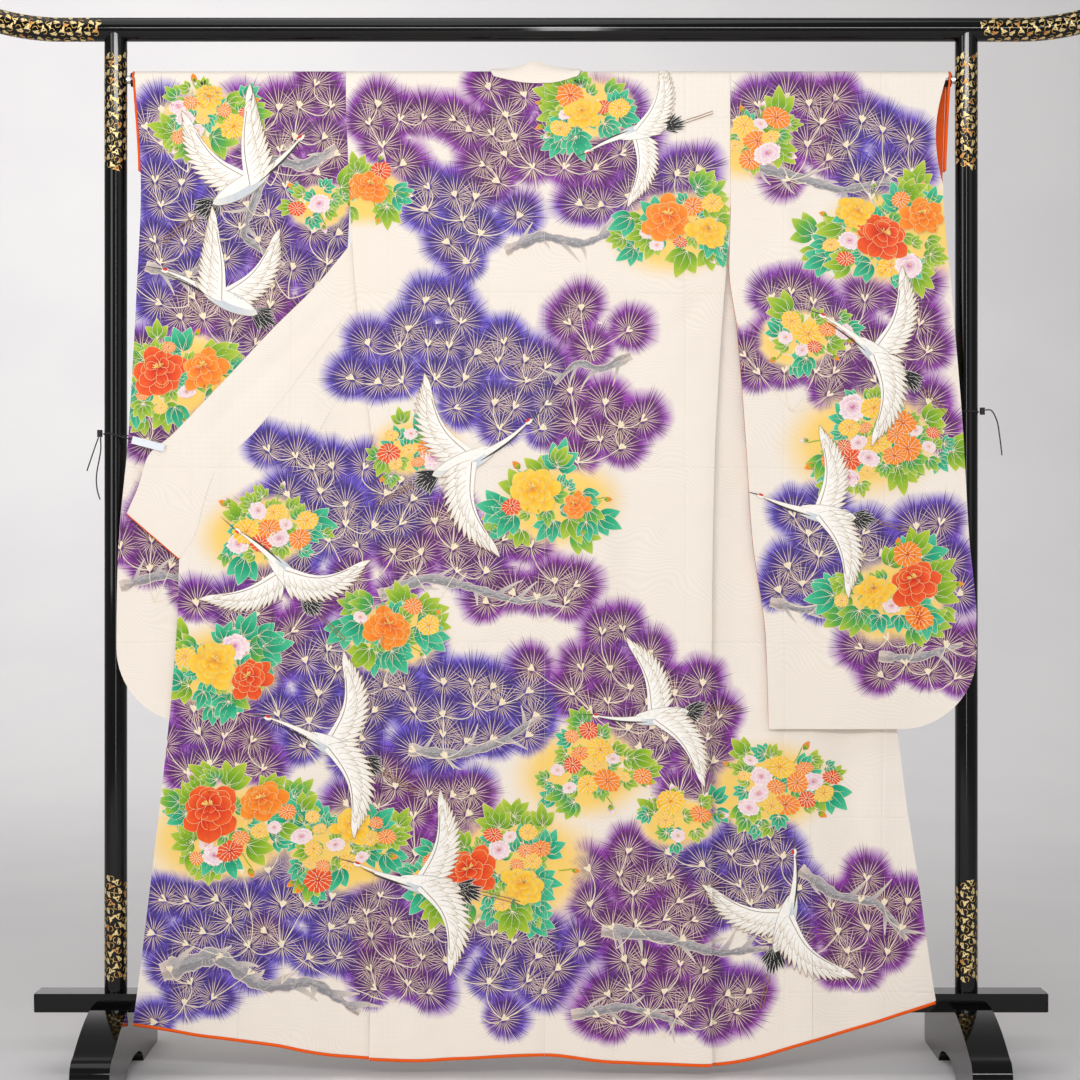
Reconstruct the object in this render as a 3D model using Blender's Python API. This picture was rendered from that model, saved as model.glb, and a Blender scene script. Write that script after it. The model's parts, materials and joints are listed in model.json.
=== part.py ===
"""A furisode hung with its back to the viewer on a black lacquer kimono stand, fronts opened out.

Metres, +Z up. X runs to the viewer's right and the viewer looks along +Y, so the garment's outside back
faces -Y. The origin is on the floor under the middle of the stand.
The cloth pieces are walls of constant thickness. Each is a grid of points in the middle of the cloth,
worked out from the tables below, and its two faces are those points moved out along the normals.
"""
import math
from typing import NamedTuple

import bpy
import numpy as np
from mathutils import Vector

# Cloth
WALL = 0.0015
SEAM = 0.0003
CENTRE_SEAM_X = 0.006

# Stand
RAIL_Z = 1.747
RAIL_RADIUS = 0.020
RAIL_HALF_LENGTH = 0.97
RAIL_BEND_X = 0.80
RAIL_BEND_RATE = 1.22
POST_X = 0.7125
POST_RADIUS = 0.019
POST_SADDLE_RADIUS = RAIL_RADIUS + 0.0005
BAR_HALF_LENGTH = 0.845
BAR_HALF_DEPTH = 0.028
BAR_BOTTOM_Z = 0.106
BAR_TOP_Z = 0.137
FOOT_HALF_WIDTH = 0.032
FOOT_HALF_LENGTH = 0.25
FOOT_TOP_Z = 0.120
FOOT_NOSE_Z = 0.072
FOOT_NOSE_RADIUS = 0.030
FOOT_ARCH_HALF_LENGTH = 0.09
FOOT_ARCH_HEIGHT = 0.030

# Rod through the sleeves
ROD_Z = 1.663
ROD_RADIUS = 0.012
ROD_HALF_LENGTH = 0.6865
PIN_RADIUS = 0.007

# The middle of the cloth where it lies over the rod
FOLD_RADIUS = ROD_RADIUS + 0.0007 + WALL / 2
FOLD_SEAM = 0.0004
COLLAR_FOLD_RADIUS = FOLD_RADIUS + WALL + 0.0009

# Heights, from the shoulder down
ATTACH_Z = 1.450
SIDE_SEAM_TOP_Z = 1.300
POINT_Z = 1.470
FRONT_TOP_Z = 1.628
COLLAR_TOP_Z = 1.655
COLLAR_END_Z = 0.862
HEM_BLEND_Z = 0.50
BODY_ROWS = (
    1.663, 1.628, 1.587, 1.545, 1.508, 1.470, 1.450, 1.420, 1.390, 1.330, 1.270, 1.2325, 1.195, 1.137,
    1.079, 1.040, 1.001, 0.952, 0.906, 0.862, 0.800, 0.729, 0.650, 0.580, 0.513, 0.430, 0.350, 0.280,
    0.200, 0.137, 0.070, 0.000,
)
BACK_ROWS = (
    1.663, 1.628, 1.587, 1.545, 1.508, 1.470, 1.420, 1.330, 1.2325, 1.137, 1.040, 0.952, 0.862, 0.729,
    0.580, 0.430, 0.280, 0.137, 0.000,
)
FOLD_ANGLES = (0.0, 22.5, 45.0, 67.5)


class Depth(NamedTuple):
    """How far back each layer of the body lies at a height, in the middle of its cloth."""

    z: float
    back: float
    inner_front: float
    open_front: float


DEPTHS = (
    Depth(1.663, -FOLD_RADIUS, FOLD_RADIUS, 0.0173),
    Depth(1.600, -0.0145, 0.0065, 0.0107),
    Depth(1.500, -0.0165, -0.0040, 0.0002),
    Depth(1.450, -0.0178, -0.0085, -0.0043),
    Depth(1.300, -0.0215, -0.0168, -0.0126),
    Depth(1.000, -0.0275, -0.0233, -0.0191),
    Depth(0.600, -0.0360, -0.0318, -0.0276),
    Depth(0.300, -0.0410, -0.0368, -0.0326),
    Depth(0.000, -0.0455, -0.0413, -0.0371),
)


class BodyRow(NamedTuple):
    """Where the body's seams and folds cross a height, as distances from the middle of the stand."""

    z: float
    side: float
    fold: float
    okumi: float


LEFT_BODY = (
    BodyRow(1.680, 0.326, 0.066, 0.076),
    BodyRow(1.628, 0.326, 0.082, 0.100),
    BodyRow(1.545, 0.323, 0.118, 0.152),
    BodyRow(1.470, 0.320, 0.146, 0.203),
    BodyRow(1.359, 0.313, 0.173, 0.245),
    BodyRow(1.295, 0.308, 0.185, 0.266),
    BodyRow(1.214, 0.300, 0.191, 0.293),
    BodyRow(1.129, 0.290, 0.202, 0.340),
    BodyRow(1.051, 0.280, 0.215, 0.380),
    BodyRow(0.984, 0.273, 0.223, 0.408),
    BodyRow(0.906, 0.266, 0.228, 0.426),
    BodyRow(0.729, 0.261, 0.238, 0.451),
    BodyRow(0.523, 0.262, 0.245, 0.473),
    BodyRow(0.403, 0.271, 0.252, 0.488),
    BodyRow(0.263, 0.281, 0.262, 0.495),
    BodyRow(0.000, 0.285, 0.270, 0.504),
)
RIGHT_BODY = (
    BodyRow(1.680, 0.316, 0.050, 0.060),
    BodyRow(1.628, 0.316, 0.066, 0.084),
    BodyRow(1.545, 0.316, 0.104, 0.140),
    BodyRow(1.470, 0.316, 0.136, 0.196),
    BodyRow(1.359, 0.310, 0.170, 0.246),
    BodyRow(1.295, 0.305, 0.184, 0.270),
    BodyRow(1.214, 0.299, 0.193, 0.301),
    BodyRow(1.129, 0.294, 0.205, 0.340),
    BodyRow(1.051, 0.290, 0.216, 0.373),
    BodyRow(0.984, 0.288, 0.223, 0.396),
    BodyRow(0.906, 0.286, 0.230, 0.409),
    BodyRow(0.729, 0.284, 0.240, 0.430),
    BodyRow(0.523, 0.281, 0.248, 0.446),
    BodyRow(0.403, 0.284, 0.254, 0.448),
    BodyRow(0.263, 0.284, 0.260, 0.450),
    BodyRow(0.000, 0.284, 0.264, 0.451),
)


class CollarRow(NamedTuple):
    """A station of the collar: the height and distance of its seam, and where its free edge lies."""

    z: float
    seam: float
    edge: float
    edge_z: float


LEFT_COLLAR = (
    CollarRow(1.655, 0.084, 0.0945, 1.6635),
    CollarRow(1.628, 0.100, 0.1165, 1.640),
    CollarRow(1.545, 0.152, 0.1726, 1.559),
    CollarRow(1.470, 0.203, 0.2327, 1.490),
    CollarRow(1.390, 0.255, 0.294, 1.417),
    CollarRow(1.270, 0.326, 0.383, 1.309),
    CollarRow(1.195, 0.380, 0.440, 1.252),
    CollarRow(1.079, 0.471, 0.540, 1.145),
    CollarRow(1.001, 0.544, 0.614, 1.067),
    CollarRow(0.952, 0.561, 0.653, 1.032),
    CollarRow(0.906, 0.573, 0.668, 0.984),
    CollarRow(0.862, 0.601, 0.688, 0.937),
)
RIGHT_COLLAR = (
    CollarRow(1.655, 0.068, 0.0785, 1.6635),
    CollarRow(1.628, 0.084, 0.1005, 1.640),
    CollarRow(1.545, 0.140, 0.1606, 1.559),
    CollarRow(1.470, 0.196, 0.2257, 1.490),
    CollarRow(1.390, 0.247, 0.286, 1.417),
    CollarRow(1.270, 0.322, 0.378, 1.309),
    CollarRow(1.195, 0.372, 0.432, 1.252),
    CollarRow(1.079, 0.460, 0.529, 1.145),
    CollarRow(1.001, 0.530, 0.600, 1.067),
    CollarRow(0.952, 0.549, 0.640, 1.032),
    CollarRow(0.906, 0.562, 0.656, 0.984),
    CollarRow(0.862, 0.586, 0.672, 0.937),
)


class EdgePoint(NamedTuple):
    """A height, and the distance of an edge from the middle there."""

    z: float
    x: float


LEFT_FRONT_EDGE = (
    EdgePoint(0.862, 0.601), EdgePoint(0.763, 0.604), EdgePoint(0.629, 0.614), EdgePoint(0.513, 0.626),
    EdgePoint(0.280, 0.651), EdgePoint(0.000, 0.6765),
)
RIGHT_FRONT_EDGE = (
    EdgePoint(0.862, 0.586), EdgePoint(0.763, 0.586), EdgePoint(0.629, 0.589), EdgePoint(0.513, 0.601),
    EdgePoint(0.280, 0.631), EdgePoint(0.000, 0.656),
)


class HemPoint(NamedTuple):
    """How high the hem hangs above the floor at a place across the garment."""

    x: float
    z: float


HEM = (
    HemPoint(-0.679, 0.093), HemPoint(-0.558, 0.073), HemPoint(-0.443, 0.057), HemPoint(-0.328, 0.038),
    HemPoint(-0.213, 0.033), HemPoint(-0.002, 0.042), HemPoint(0.125, 0.030), HemPoint(0.285, 0.025),
    HemPoint(0.456, 0.065), HemPoint(0.656, 0.127),
)


class NeckPoint(NamedTuple):
    """A station of the collar on the back's neck: its seam, and its top edge, which leans back."""

    seam_x: float
    seam_y: float
    seam_z: float
    top_x: float
    top_y: float
    top_z: float


NECK = (
    NeckPoint(-0.0858, -0.0056, 1.6778, -0.0745, -0.0015, 1.6797),
    NeckPoint(-0.0835, -0.0120, 1.6744, -0.0740, -0.0035, 1.6800),
    NeckPoint(-0.079, -0.0168, 1.6672, -0.0705, -0.0040, 1.6803),
    NeckPoint(-0.066, -0.0170, 1.6635, -0.062, -0.0040, 1.6808),
    NeckPoint(-0.052, -0.0170, 1.6600, -0.048, -0.0045, 1.6820),
    NeckPoint(-0.030, -0.0170, 1.6560, -0.028, -0.0040, 1.6870),
    NeckPoint(-0.016, -0.0170, 1.6550, -0.0165, -0.0030, 1.6935),
    NeckPoint(-0.004, -0.0170, 1.6548, -0.006, -0.0025, 1.6930),
    NeckPoint(0.014, -0.0170, 1.6552, 0.010, -0.0035, 1.6865),
    NeckPoint(0.036, -0.0170, 1.6590, 0.033, -0.0045, 1.6820),
    NeckPoint(0.050, -0.0170, 1.6635, 0.046, -0.0040, 1.6808),
    NeckPoint(0.061, -0.0168, 1.6672, 0.0525, -0.0040, 1.6803),
    NeckPoint(0.0655, -0.0120, 1.6744, 0.0560, -0.0035, 1.6800),
    NeckPoint(0.0678, -0.0056, 1.6778, 0.0565, -0.0015, 1.6797),
)
NECK_LEFT_X = -0.088
NECK_RIGHT_X = 0.070
NECK_TURN_WIDTH = 0.013
NECK_BLEND_Z = 1.587
NECK_TURNS = (80.0, 55.0, 30.0, 5.0)
NECK_PARTS = (0.0, 0.30, 0.55, 0.74, 0.87, 0.95, 1.0)
BACK_ANGLES = (0.0, 15.0, 30.0, 45.0, 60.0, 75.0)


class Reach(NamedTuple):
    """How far back the outer edge of each opened front lies at a height."""

    z: float
    left: float
    right: float


REACH_START_X = 0.300
REACH_END_X = 0.651
REACHES = (
    Reach(1.450, -0.0200, -0.0040),
    Reach(1.200, -0.0330, -0.0080),
    Reach(1.050, -0.0360, -0.0080),
    Reach(0.900, -0.0390, -0.0110),
    Reach(0.600, -0.0410, -0.0200),
    Reach(0.300, -0.0425, -0.0290),
    Reach(0.000, -0.0440, -0.0360),
)


class SleeveRow(NamedTuple):
    """A height of a sleeve: its inner edge, how far back its near layer lies at each edge, and its gap."""

    z: float
    inner_x: float
    inner_y: float
    outer_y: float
    gap: float


LEFT_SLEEVE = (
    SleeveRow(1.663, 0.3263, -FOLD_RADIUS, -FOLD_RADIUS, 2 * FOLD_RADIUS),
    SleeveRow(1.600, 0.3250, -0.0145, -0.0145, 0.0210),
    SleeveRow(1.500, 0.3220, -0.0165, -0.0160, 0.0125),
    SleeveRow(1.450, 0.3205, -0.0178, -0.0155, 0.0093),
    SleeveRow(1.400, 0.3230, -0.0110, -0.0150, 0.0090),
    SleeveRow(1.370, 0.3250, -0.0060, -0.0150, 0.0090),
    SleeveRow(1.300, 0.3270, -0.0040, -0.0150, 0.0090),
    SleeveRow(1.060, 0.3360, -0.0100, -0.0240, 0.0085),
    SleeveRow(0.860, 0.3440, -0.0147, -0.0305, 0.0075),
    SleeveRow(0.588, 0.3550, -0.0205, -0.0325, 0.0070),
)
RIGHT_SLEEVE = (
    SleeveRow(1.663, 0.3163, -FOLD_RADIUS, -FOLD_RADIUS, 2 * FOLD_RADIUS),
    SleeveRow(1.600, 0.3163, -0.0145, -0.0145, 0.0210),
    SleeveRow(1.500, 0.3163, -0.0165, -0.0170, 0.0125),
    SleeveRow(1.450, 0.3163, -0.0178, -0.0185, 0.0093),
    SleeveRow(1.400, 0.3150, -0.0215, -0.0230, 0.0093),
    SleeveRow(1.345, 0.3135, -0.0255, -0.0270, 0.0093),
    SleeveRow(1.245, 0.3260, -0.0300, -0.0310, 0.0093),
    SleeveRow(1.062, 0.3400, -0.0340, -0.0340, 0.0090),
    SleeveRow(0.896, 0.3510, -0.0365, -0.0365, 0.0085),
    SleeveRow(0.729, 0.3730, -0.0395, -0.0395, 0.0075),
    SleeveRow(0.579, 0.3780, -0.0415, -0.0415, 0.0070),
)
SLEEVE_TOP_Z = 1.680
CUFF_END_Z = 1.480
SLEEVE_SEAM = 0.0005
CORNER_RADIUS = 0.125
LEFT_SLEEVE_BOTTOM_Z = 0.588
RIGHT_SLEEVE_BOTTOM_Z = 0.579
LEFT_SLEEVE_EDGE = (
    EdgePoint(1.680, 0.6793), EdgePoint(1.487, 0.668), EdgePoint(1.295, 0.676), EdgePoint(1.062, 0.688),
    EdgePoint(0.862, 0.704), EdgePoint(0.729, 0.706), EdgePoint(0.588, 0.706),
)
RIGHT_SLEEVE_EDGE = (
    EdgePoint(1.680, 0.681), EdgePoint(1.470, 0.6715), EdgePoint(1.295, 0.684), EdgePoint(1.079, 0.701),
    EdgePoint(0.896, 0.711), EdgePoint(0.763, 0.7225), EdgePoint(0.579, 0.7225),
)
SLEEVE_ROWS = (
    1.663, 1.628, 1.587, 1.545, 1.508, 1.470, 1.450, 1.420, 1.395, 1.370, 1.300, 1.200, 1.100, 1.000, 0.900,
    0.800,
)
RIGHT_CUFF_PULL = 0.016

# Trim
ROLL_RADIUS = 0.0026
ROLL_DROP = 0.0032
CUFF_LINING_WIDTH = 0.0035
CUFF_LINING_WALL = 0.0012
CUFF_LINING_GAP = 0.0006
CUFF_LINING_ROWS = (1.663, 1.628, 1.587, 1.545, 1.508)

# Clips and the elastic that ties them to the posts
CLIP_X = 0.652
CLIP_Z = 1.052
CLIP_LENGTH = 0.055
CLIP_HEIGHT = 0.0125
CLIP_JAW = 0.0032
CLIP_SLOT = 0.0050
CLIP_BRIDGE = 0.0045
CLIP_TILT = math.radians(15.0)
ELASTIC_RADIUS = 0.0011
CLIP_GAP = 0.0010
TIE_GAP = 0.0005
TIE_WIND = math.radians(300.0)
TIE_CLIMB = 0.0042
TIE_POINTS = 19
BEAD_GAP = 0.0006
BEAD_RADIUS = 0.0045
BEAD_HALF_HEIGHT = 0.006

LEFT_TIE_Z = 1.0705
RIGHT_TIE_Z = 1.1080
LEFT_END_SHORT = ((-0.7414, -0.0016, 1.0639), (-0.7480, -0.0040, 1.0440), (-0.7600, -0.0050, 1.0080))
LEFT_END_LONG = (
    (-0.7383, 0.0018, 1.0642), (-0.7385, 0.0020, 1.0400), (-0.7450, 0.0010, 1.0020),
    (-0.7440, 0.0000, 0.9780), (-0.7390, 0.0000, 0.9600),
)
RIGHT_END = (
    (0.7441, 0.0000, 1.1100), (0.7550, -0.0010, 1.1085), (0.7640, -0.0020, 1.0900),
    (0.7680, -0.0020, 1.0660), (0.7720, -0.0020, 1.0340),
)

LEFT = -1.0
RIGHT = 1.0


class Finish(NamedTuple):
    """A surface finish: linear colour, roughness and metallic value."""

    colour: tuple
    roughness: float
    metallic: float


IVORY = Finish((0.88, 0.80, 0.68), 0.60, 0.0)
ORANGE = Finish((0.86, 0.16, 0.03), 0.65, 0.0)
LACQUER = Finish((0.006, 0.006, 0.007), 0.12, 0.0)
STEEL = Finish((0.60, 0.60, 0.62), 0.30, 1.0)
WHITE_PLASTIC = Finish((0.80, 0.82, 0.84), 0.35, 0.0)
ELASTIC = Finish((0.012, 0.012, 0.013), 0.75, 0.0)


def clear_scene():
    """Remove the objects that the scene starts with."""
    for other in list(bpy.data.objects):
        bpy.data.objects.remove(other, do_unlink=True)


def paint(obj, finish):
    """Give an object its own Principled material."""
    material = bpy.data.materials.new(obj.name)
    material.use_nodes = True
    shader = material.node_tree.nodes["Principled BSDF"]
    shader.inputs["Base Color"].default_value = (*finish.colour, 1.0)
    shader.inputs["Roughness"].default_value = finish.roughness
    shader.inputs["Metallic"].default_value = finish.metallic
    obj.data.materials.append(material)


def add_mesh(name, points, faces, finish, sharp_degrees=40.0):
    """Add one mesh object from its points and faces, shaded smooth up to an angle."""
    mesh = bpy.data.meshes.new(name)
    mesh.from_pydata([tuple(point) for point in points], [], faces)
    mesh.validate()
    mesh.shade_smooth()
    mesh.set_sharp_from_angle(angle=math.radians(sharp_degrees))
    obj = bpy.data.objects.new(name, mesh)
    bpy.context.collection.objects.link(obj)
    paint(obj, finish)
    return obj


def monotone(knots, values, where):
    """A smooth curve through a table's points that never swings past them (monotone cubic)."""
    x = np.asarray(knots, dtype=float)
    y = np.asarray(values, dtype=float)
    if x[0] > x[-1]:
        x = x[::-1]
        y = y[::-1]
    step = np.diff(x)
    slope = np.diff(y) / step
    tangent = np.zeros_like(y)
    tangent[0] = slope[0]
    tangent[-1] = slope[-1]
    for i in range(1, len(x) - 1):
        if slope[i - 1] * slope[i] > 0.0:
            before = 2.0 * step[i] + step[i - 1]
            after = step[i] + 2.0 * step[i - 1]
            tangent[i] = (before + after) / (before / slope[i - 1] + after / slope[i])
    at = np.clip(np.asarray(where, dtype=float), x[0], x[-1])
    i = np.clip(np.searchsorted(x, at) - 1, 0, len(step) - 1)
    t = (at - x[i]) / step[i]
    start = (1.0 + 2.0 * t) * (1.0 - t) ** 2 * y[i] + t * (1.0 - t) ** 2 * step[i] * tangent[i]
    end = t * t * (3.0 - 2.0 * t) * y[i + 1] + t * t * (t - 1.0) * step[i] * tangent[i + 1]
    return start + end


def column(table, key, name, where):
    """Read one named column of a table as a smooth function of its key column."""
    knots = [getattr(row, key) for row in table]
    values = [getattr(row, name) for row in table]
    return monotone(knots, values, where)


def smoothstep(low, high, value):
    """Rise smoothly from 0 at low to 1 at high."""
    t = np.clip((value - low) / (high - low), 0.0, 1.0)
    return t * t * (3.0 - 2.0 * t)


def cloth(name, middle, finish, wall=WALL):
    """Build a wall of cloth from a grid of points in its middle, shaped (rows, columns, 3)."""
    down = np.gradient(middle, axis=0)
    across = np.gradient(middle, axis=1)
    normal = np.cross(down, across)
    normal /= np.linalg.norm(normal, axis=2, keepdims=True)
    rows, columns = middle.shape[:2]
    count = rows * columns
    points = np.concatenate([
        (middle + normal * wall / 2).reshape(-1, 3),
        (middle - normal * wall / 2).reshape(-1, 3),
    ])
    faces = []
    for i in range(rows - 1):
        for j in range(columns - 1):
            a = i * columns + j
            b = a + columns
            faces += [(a, b, b + 1), (a, b + 1, a + 1)]
            faces += [(count + a, count + b + 1, count + b), (count + a, count + a + 1, count + b + 1)]
    rim = [i * columns for i in range(rows)]
    rim += [(rows - 1) * columns + j for j in range(1, columns)]
    rim += [i * columns + columns - 1 for i in range(rows - 2, -1, -1)]
    rim += [j for j in range(columns - 2, 0, -1)]
    for here, there in zip(rim, rim[1:] + rim[:1]):
        faces.append((there, here, count + here, count + there))
    return add_mesh(name, points, faces, finish)


def tube(name, path, radius, sides, finish, closed=False, flatten=1.0):
    """Sweep a round section along a path, with flat ends or closed on itself."""
    points = [Vector(p) for p in path]
    count = len(points)
    tangents = []
    for i in range(count):
        before = points[i - 1] if closed or i else points[0]
        after = points[(i + 1) % count] if closed or i < count - 1 else points[-1]
        tangents.append((after - before).normalized())
    side = tangents[0].orthogonal().normalized()
    rings = []
    for point, tangent in zip(points, tangents):
        side = (side - tangent * side.dot(tangent)).normalized()
        up = tangent.cross(side)
        ring = []
        for k in range(sides):
            angle = 2.0 * math.pi * k / sides
            offset = side * math.cos(angle) * radius + up * math.sin(angle) * radius * flatten
            ring.append(point + offset)
        rings.append(ring)
    vertices = [vertex for ring in rings for vertex in ring]
    faces = []
    for i in range(count if closed else count - 1):
        for k in range(sides):
            a = i * sides + k
            b = i * sides + (k + 1) % sides
            c = ((i + 1) % count) * sides + (k + 1) % sides
            d = ((i + 1) % count) * sides + k
            faces.append((a, b, c, d))
    if not closed:
        faces.append(tuple(range(sides - 1, -1, -1)))
        faces.append(tuple((count - 1) * sides + k for k in range(sides)))
    return add_mesh(name, vertices, faces, finish)


def extrude_profile(name, profile, half_width, x, finish, bevel, keep_square_y=0.0):
    """Extrude a side outline of (y, z) points across X and round its outline's edges, but not in a notch."""
    count = len(profile)
    points = [(x - half_width, y, z) for y, z in profile]
    points += [(x + half_width, y, z) for y, z in profile]
    faces = [tuple(range(count - 1, -1, -1)), tuple(range(count, 2 * count))]
    for i in range(count):
        j = (i + 1) % count
        faces.append((i, j, count + j, count + i))
    obj = add_mesh(name, points, faces, finish, sharp_degrees=30.0)
    weights = obj.data.attributes.new("bevel_weight_edge", "FLOAT", "EDGE")
    for edge in obj.data.edges:
        start, end = (obj.data.vertices[k].co for k in edge.vertices)
        along_side = abs(start.x - end.x) < half_width
        in_notch = max(abs(start.y), abs(end.y)) < keep_square_y
        weights.data[edge.index].value = 1.0 if along_side and not in_notch else 0.0
    rounding = obj.modifiers.new("rounding", "BEVEL")
    rounding.width = bevel
    rounding.segments = 2
    rounding.limit_method = "WEIGHT"
    return obj


def wave(x, z):
    """Soft upright folds that every layer of the body shares, so that the layers stay apart."""
    grown = 1.0 - smoothstep(1.05, 1.45, z)
    folds = 0.0016 * np.sin(2.0 * math.pi * x / 0.165 + 0.9 + 1.1 * z)
    folds = folds + 0.0010 * np.sin(2.0 * math.pi * x / 0.093 - 0.7 - 0.8 * z)
    return grown * folds


def layer_depth(layer, x, z):
    """How far back a layer of the body lies, from its table, with the shared folds."""
    return column(DEPTHS, "z", layer, z) + wave(x, z)


def open_depth(side, x, z):
    """How far back the opened front lies: it drifts towards its tied edge as it runs out to the side."""
    out = np.clip((side * x - REACH_START_X) / (REACH_END_X - REACH_START_X), 0.0, 1.2)
    reach = column(REACHES, "z", "left" if side == LEFT else "right", z)
    return column(DEPTHS, "z", "open_front", z) * (1.0 - out) + reach * out + wave(x, z)


def hem_lift(x, z):
    """How much the hem's own line lifts a row of the cloth."""
    fade = np.clip(1.0 - z / HEM_BLEND_Z, 0.0, 1.0) ** 2
    return column(HEM, "x", "z", x) * fade


def over_rod(angle_degrees, side_of_rod):
    """The middle of the cloth at an angle from the top of the rod: its y and z."""
    angle = max(math.radians(angle_degrees), FOLD_SEAM / FOLD_RADIUS)
    return side_of_rod * FOLD_RADIUS * math.sin(angle), ROD_Z + FOLD_RADIUS * math.cos(angle)


def neck_drop(x):
    """How far below the shoulder line the back's top edge is cut at the neck, along the cloth."""
    quarter = FOLD_RADIUS * math.pi / 2
    middle = (NECK_LEFT_X + NECK_RIGHT_X) / 2
    half = (NECK_RIGHT_X - NECK_LEFT_X) / 2
    depth = quarter + ROD_Z - min(point.seam_z for point in NECK) + SEAM
    return depth * np.clip(1.0 - ((x - middle) / half) ** 2, 0.0, 1.0) ** 0.8


def hanging_point(x, distance):
    """A point of the back at a distance down the cloth from the shoulder line."""
    quarter = FOLD_RADIUS * math.pi / 2
    if distance < quarter:
        y, z = over_rod(math.degrees(distance / FOLD_RADIUS), -1.0)
        return x, y, z
    z = ROD_Z - (distance - quarter)
    return x, float(layer_depth("back", x, z)), z


def back_panel(side):
    """One back panel, from the shoulder line on the rod to the hem, cut out at the neck."""
    table = LEFT_BODY if side == LEFT else RIGHT_BODY
    neck_x = NECK_LEFT_X if side == LEFT else NECK_RIGHT_X
    centre = CENTRE_SEAM_X + side * SEAM / 2
    shoulder = side * table[0].side
    neck_part = (neck_x - centre) / (shoulder - centre)
    parts = [neck_part * part for part in NECK_PARTS]
    parts += [neck_part + (1.0 - neck_part) * k / 4 for k in range(1, 5)]
    quarter = FOLD_RADIUS * math.pi / 2
    blend = quarter + ROD_Z - NECK_BLEND_Z
    distances = [math.radians(angle) * FOLD_RADIUS for angle in BACK_ANGLES]
    distances += [quarter + ROD_Z - z for z in BACK_ROWS]
    grid = []
    for distance in distances:
        row = []
        for part in parts:
            z = ROD_Z - max(distance - quarter, 0.0)
            x = centre + (side * float(column(table, "z", "side", z)) - side * SEAM / 2 - centre) * part
            start = float(neck_drop(x))
            travelled = distance
            if distance < blend:
                travelled = start + distance * (blend - start) / blend
            point = hanging_point(x, travelled)
            row.append((point[0], point[1], point[2] + float(hem_lift(x, point[2]))))
        grid.append(row)
    middle = np.array(grid)
    if side == RIGHT:
        middle = middle[:, ::-1]
    return cloth("back_left" if side == LEFT else "back_right", middle, IVORY)


def inner_front_panel(side):
    """The part of a front that hangs behind the back, from the shoulder to its fold line."""
    table = LEFT_BODY if side == LEFT else RIGHT_BODY
    grid = []
    rows = [(angle, None) for angle in FOLD_ANGLES] + [(None, z) for z in BACK_ROWS]
    for angle, height in rows:
        z_key = ROD_Z if height is None else height
        outer = side * float(column(table, "z", "side", z_key)) - side * SEAM / 2
        inner = side * float(column(table, "z", "fold", z_key))
        row = []
        for part in np.linspace(0.0, 1.0, 6):
            x = outer + (inner - outer) * part
            if height is None:
                y, z = over_rod(angle, 1.0)
            else:
                z = height
                y = float(layer_depth("inner_front", x, z))
                sewn = 1.0 - smoothstep(SIDE_SEAM_TOP_Z - 0.03, SIDE_SEAM_TOP_Z, z)
                seam_y = float(layer_depth("back", x, z)) + WALL + SEAM
                y += (seam_y - y) * sewn * math.exp(-abs(x - outer) / 0.012)
                z += float(hem_lift(x, z))
            row.append((x, y, z))
        grid.append(row)
    middle = np.array(grid)
    if side == RIGHT:
        middle = middle[:, ::-1]
    return cloth("front_left_inner" if side == LEFT else "front_right_inner", middle, IVORY)


def front_boundary(side, z):
    """The opened front's outer edge: the collar seam above the okumi's point, the okumi seam below."""
    if z >= POINT_Z:
        return float(column(LEFT_COLLAR if side == LEFT else RIGHT_COLLAR, "z", "seam", z))
    return float(column(LEFT_BODY if side == LEFT else RIGHT_BODY, "z", "okumi", z))


def open_front_panel(side):
    """The part of a front that opens out to the side, from its fold line to the okumi seam."""
    table = LEFT_BODY if side == LEFT else RIGHT_BODY
    grid = []
    for height in [z for z in BODY_ROWS if z <= FRONT_TOP_Z]:
        fold = side * float(column(table, "z", "fold", height))
        okumi = side * (front_boundary(side, height) - SEAM / 2)
        row = []
        for part in (0.0, 0.12, 0.34, 0.56, 0.78, 1.0):
            x = fold + (okumi - fold) * part
            y = float(open_depth(side, x, height))
            folded_y = float(layer_depth("inner_front", x, height)) + WALL + SEAM
            y += (folded_y - y) * math.exp(-abs(x - fold) / 0.008)
            row.append((x, y, height + float(hem_lift(x, height))))
        grid.append(row)
    middle = np.array(grid)
    if side == LEFT:
        middle = middle[:, ::-1]
    return cloth("front_left" if side == LEFT else "front_right", middle, IVORY)


def okumi_panel(side):
    """The narrow overlap panel between the front and the collar or the front edge."""
    body = LEFT_BODY if side == LEFT else RIGHT_BODY
    collar = LEFT_COLLAR if side == LEFT else RIGHT_COLLAR
    edge = LEFT_FRONT_EDGE if side == LEFT else RIGHT_FRONT_EDGE
    grid = []
    for height in [z for z in BODY_ROWS if z <= ATTACH_Z]:
        inner = side * (float(column(body, "z", "okumi", height)) + SEAM / 2)
        if height >= COLLAR_END_Z:
            outer = side * (float(column(collar, "z", "seam", height)) - SEAM / 2)
        else:
            outer = side * float(column(edge, "z", "x", height))
        row = []
        for part in np.linspace(0.0, 1.0, 5):
            x = inner + (outer - inner) * part
            row.append((x, float(open_depth(side, x, height)), height + float(hem_lift(x, height))))
        grid.append(row)
    middle = np.array(grid)
    if side == LEFT:
        middle = middle[:, ::-1]
    return cloth("okumi_left" if side == LEFT else "okumi_right", middle, IVORY)


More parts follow.
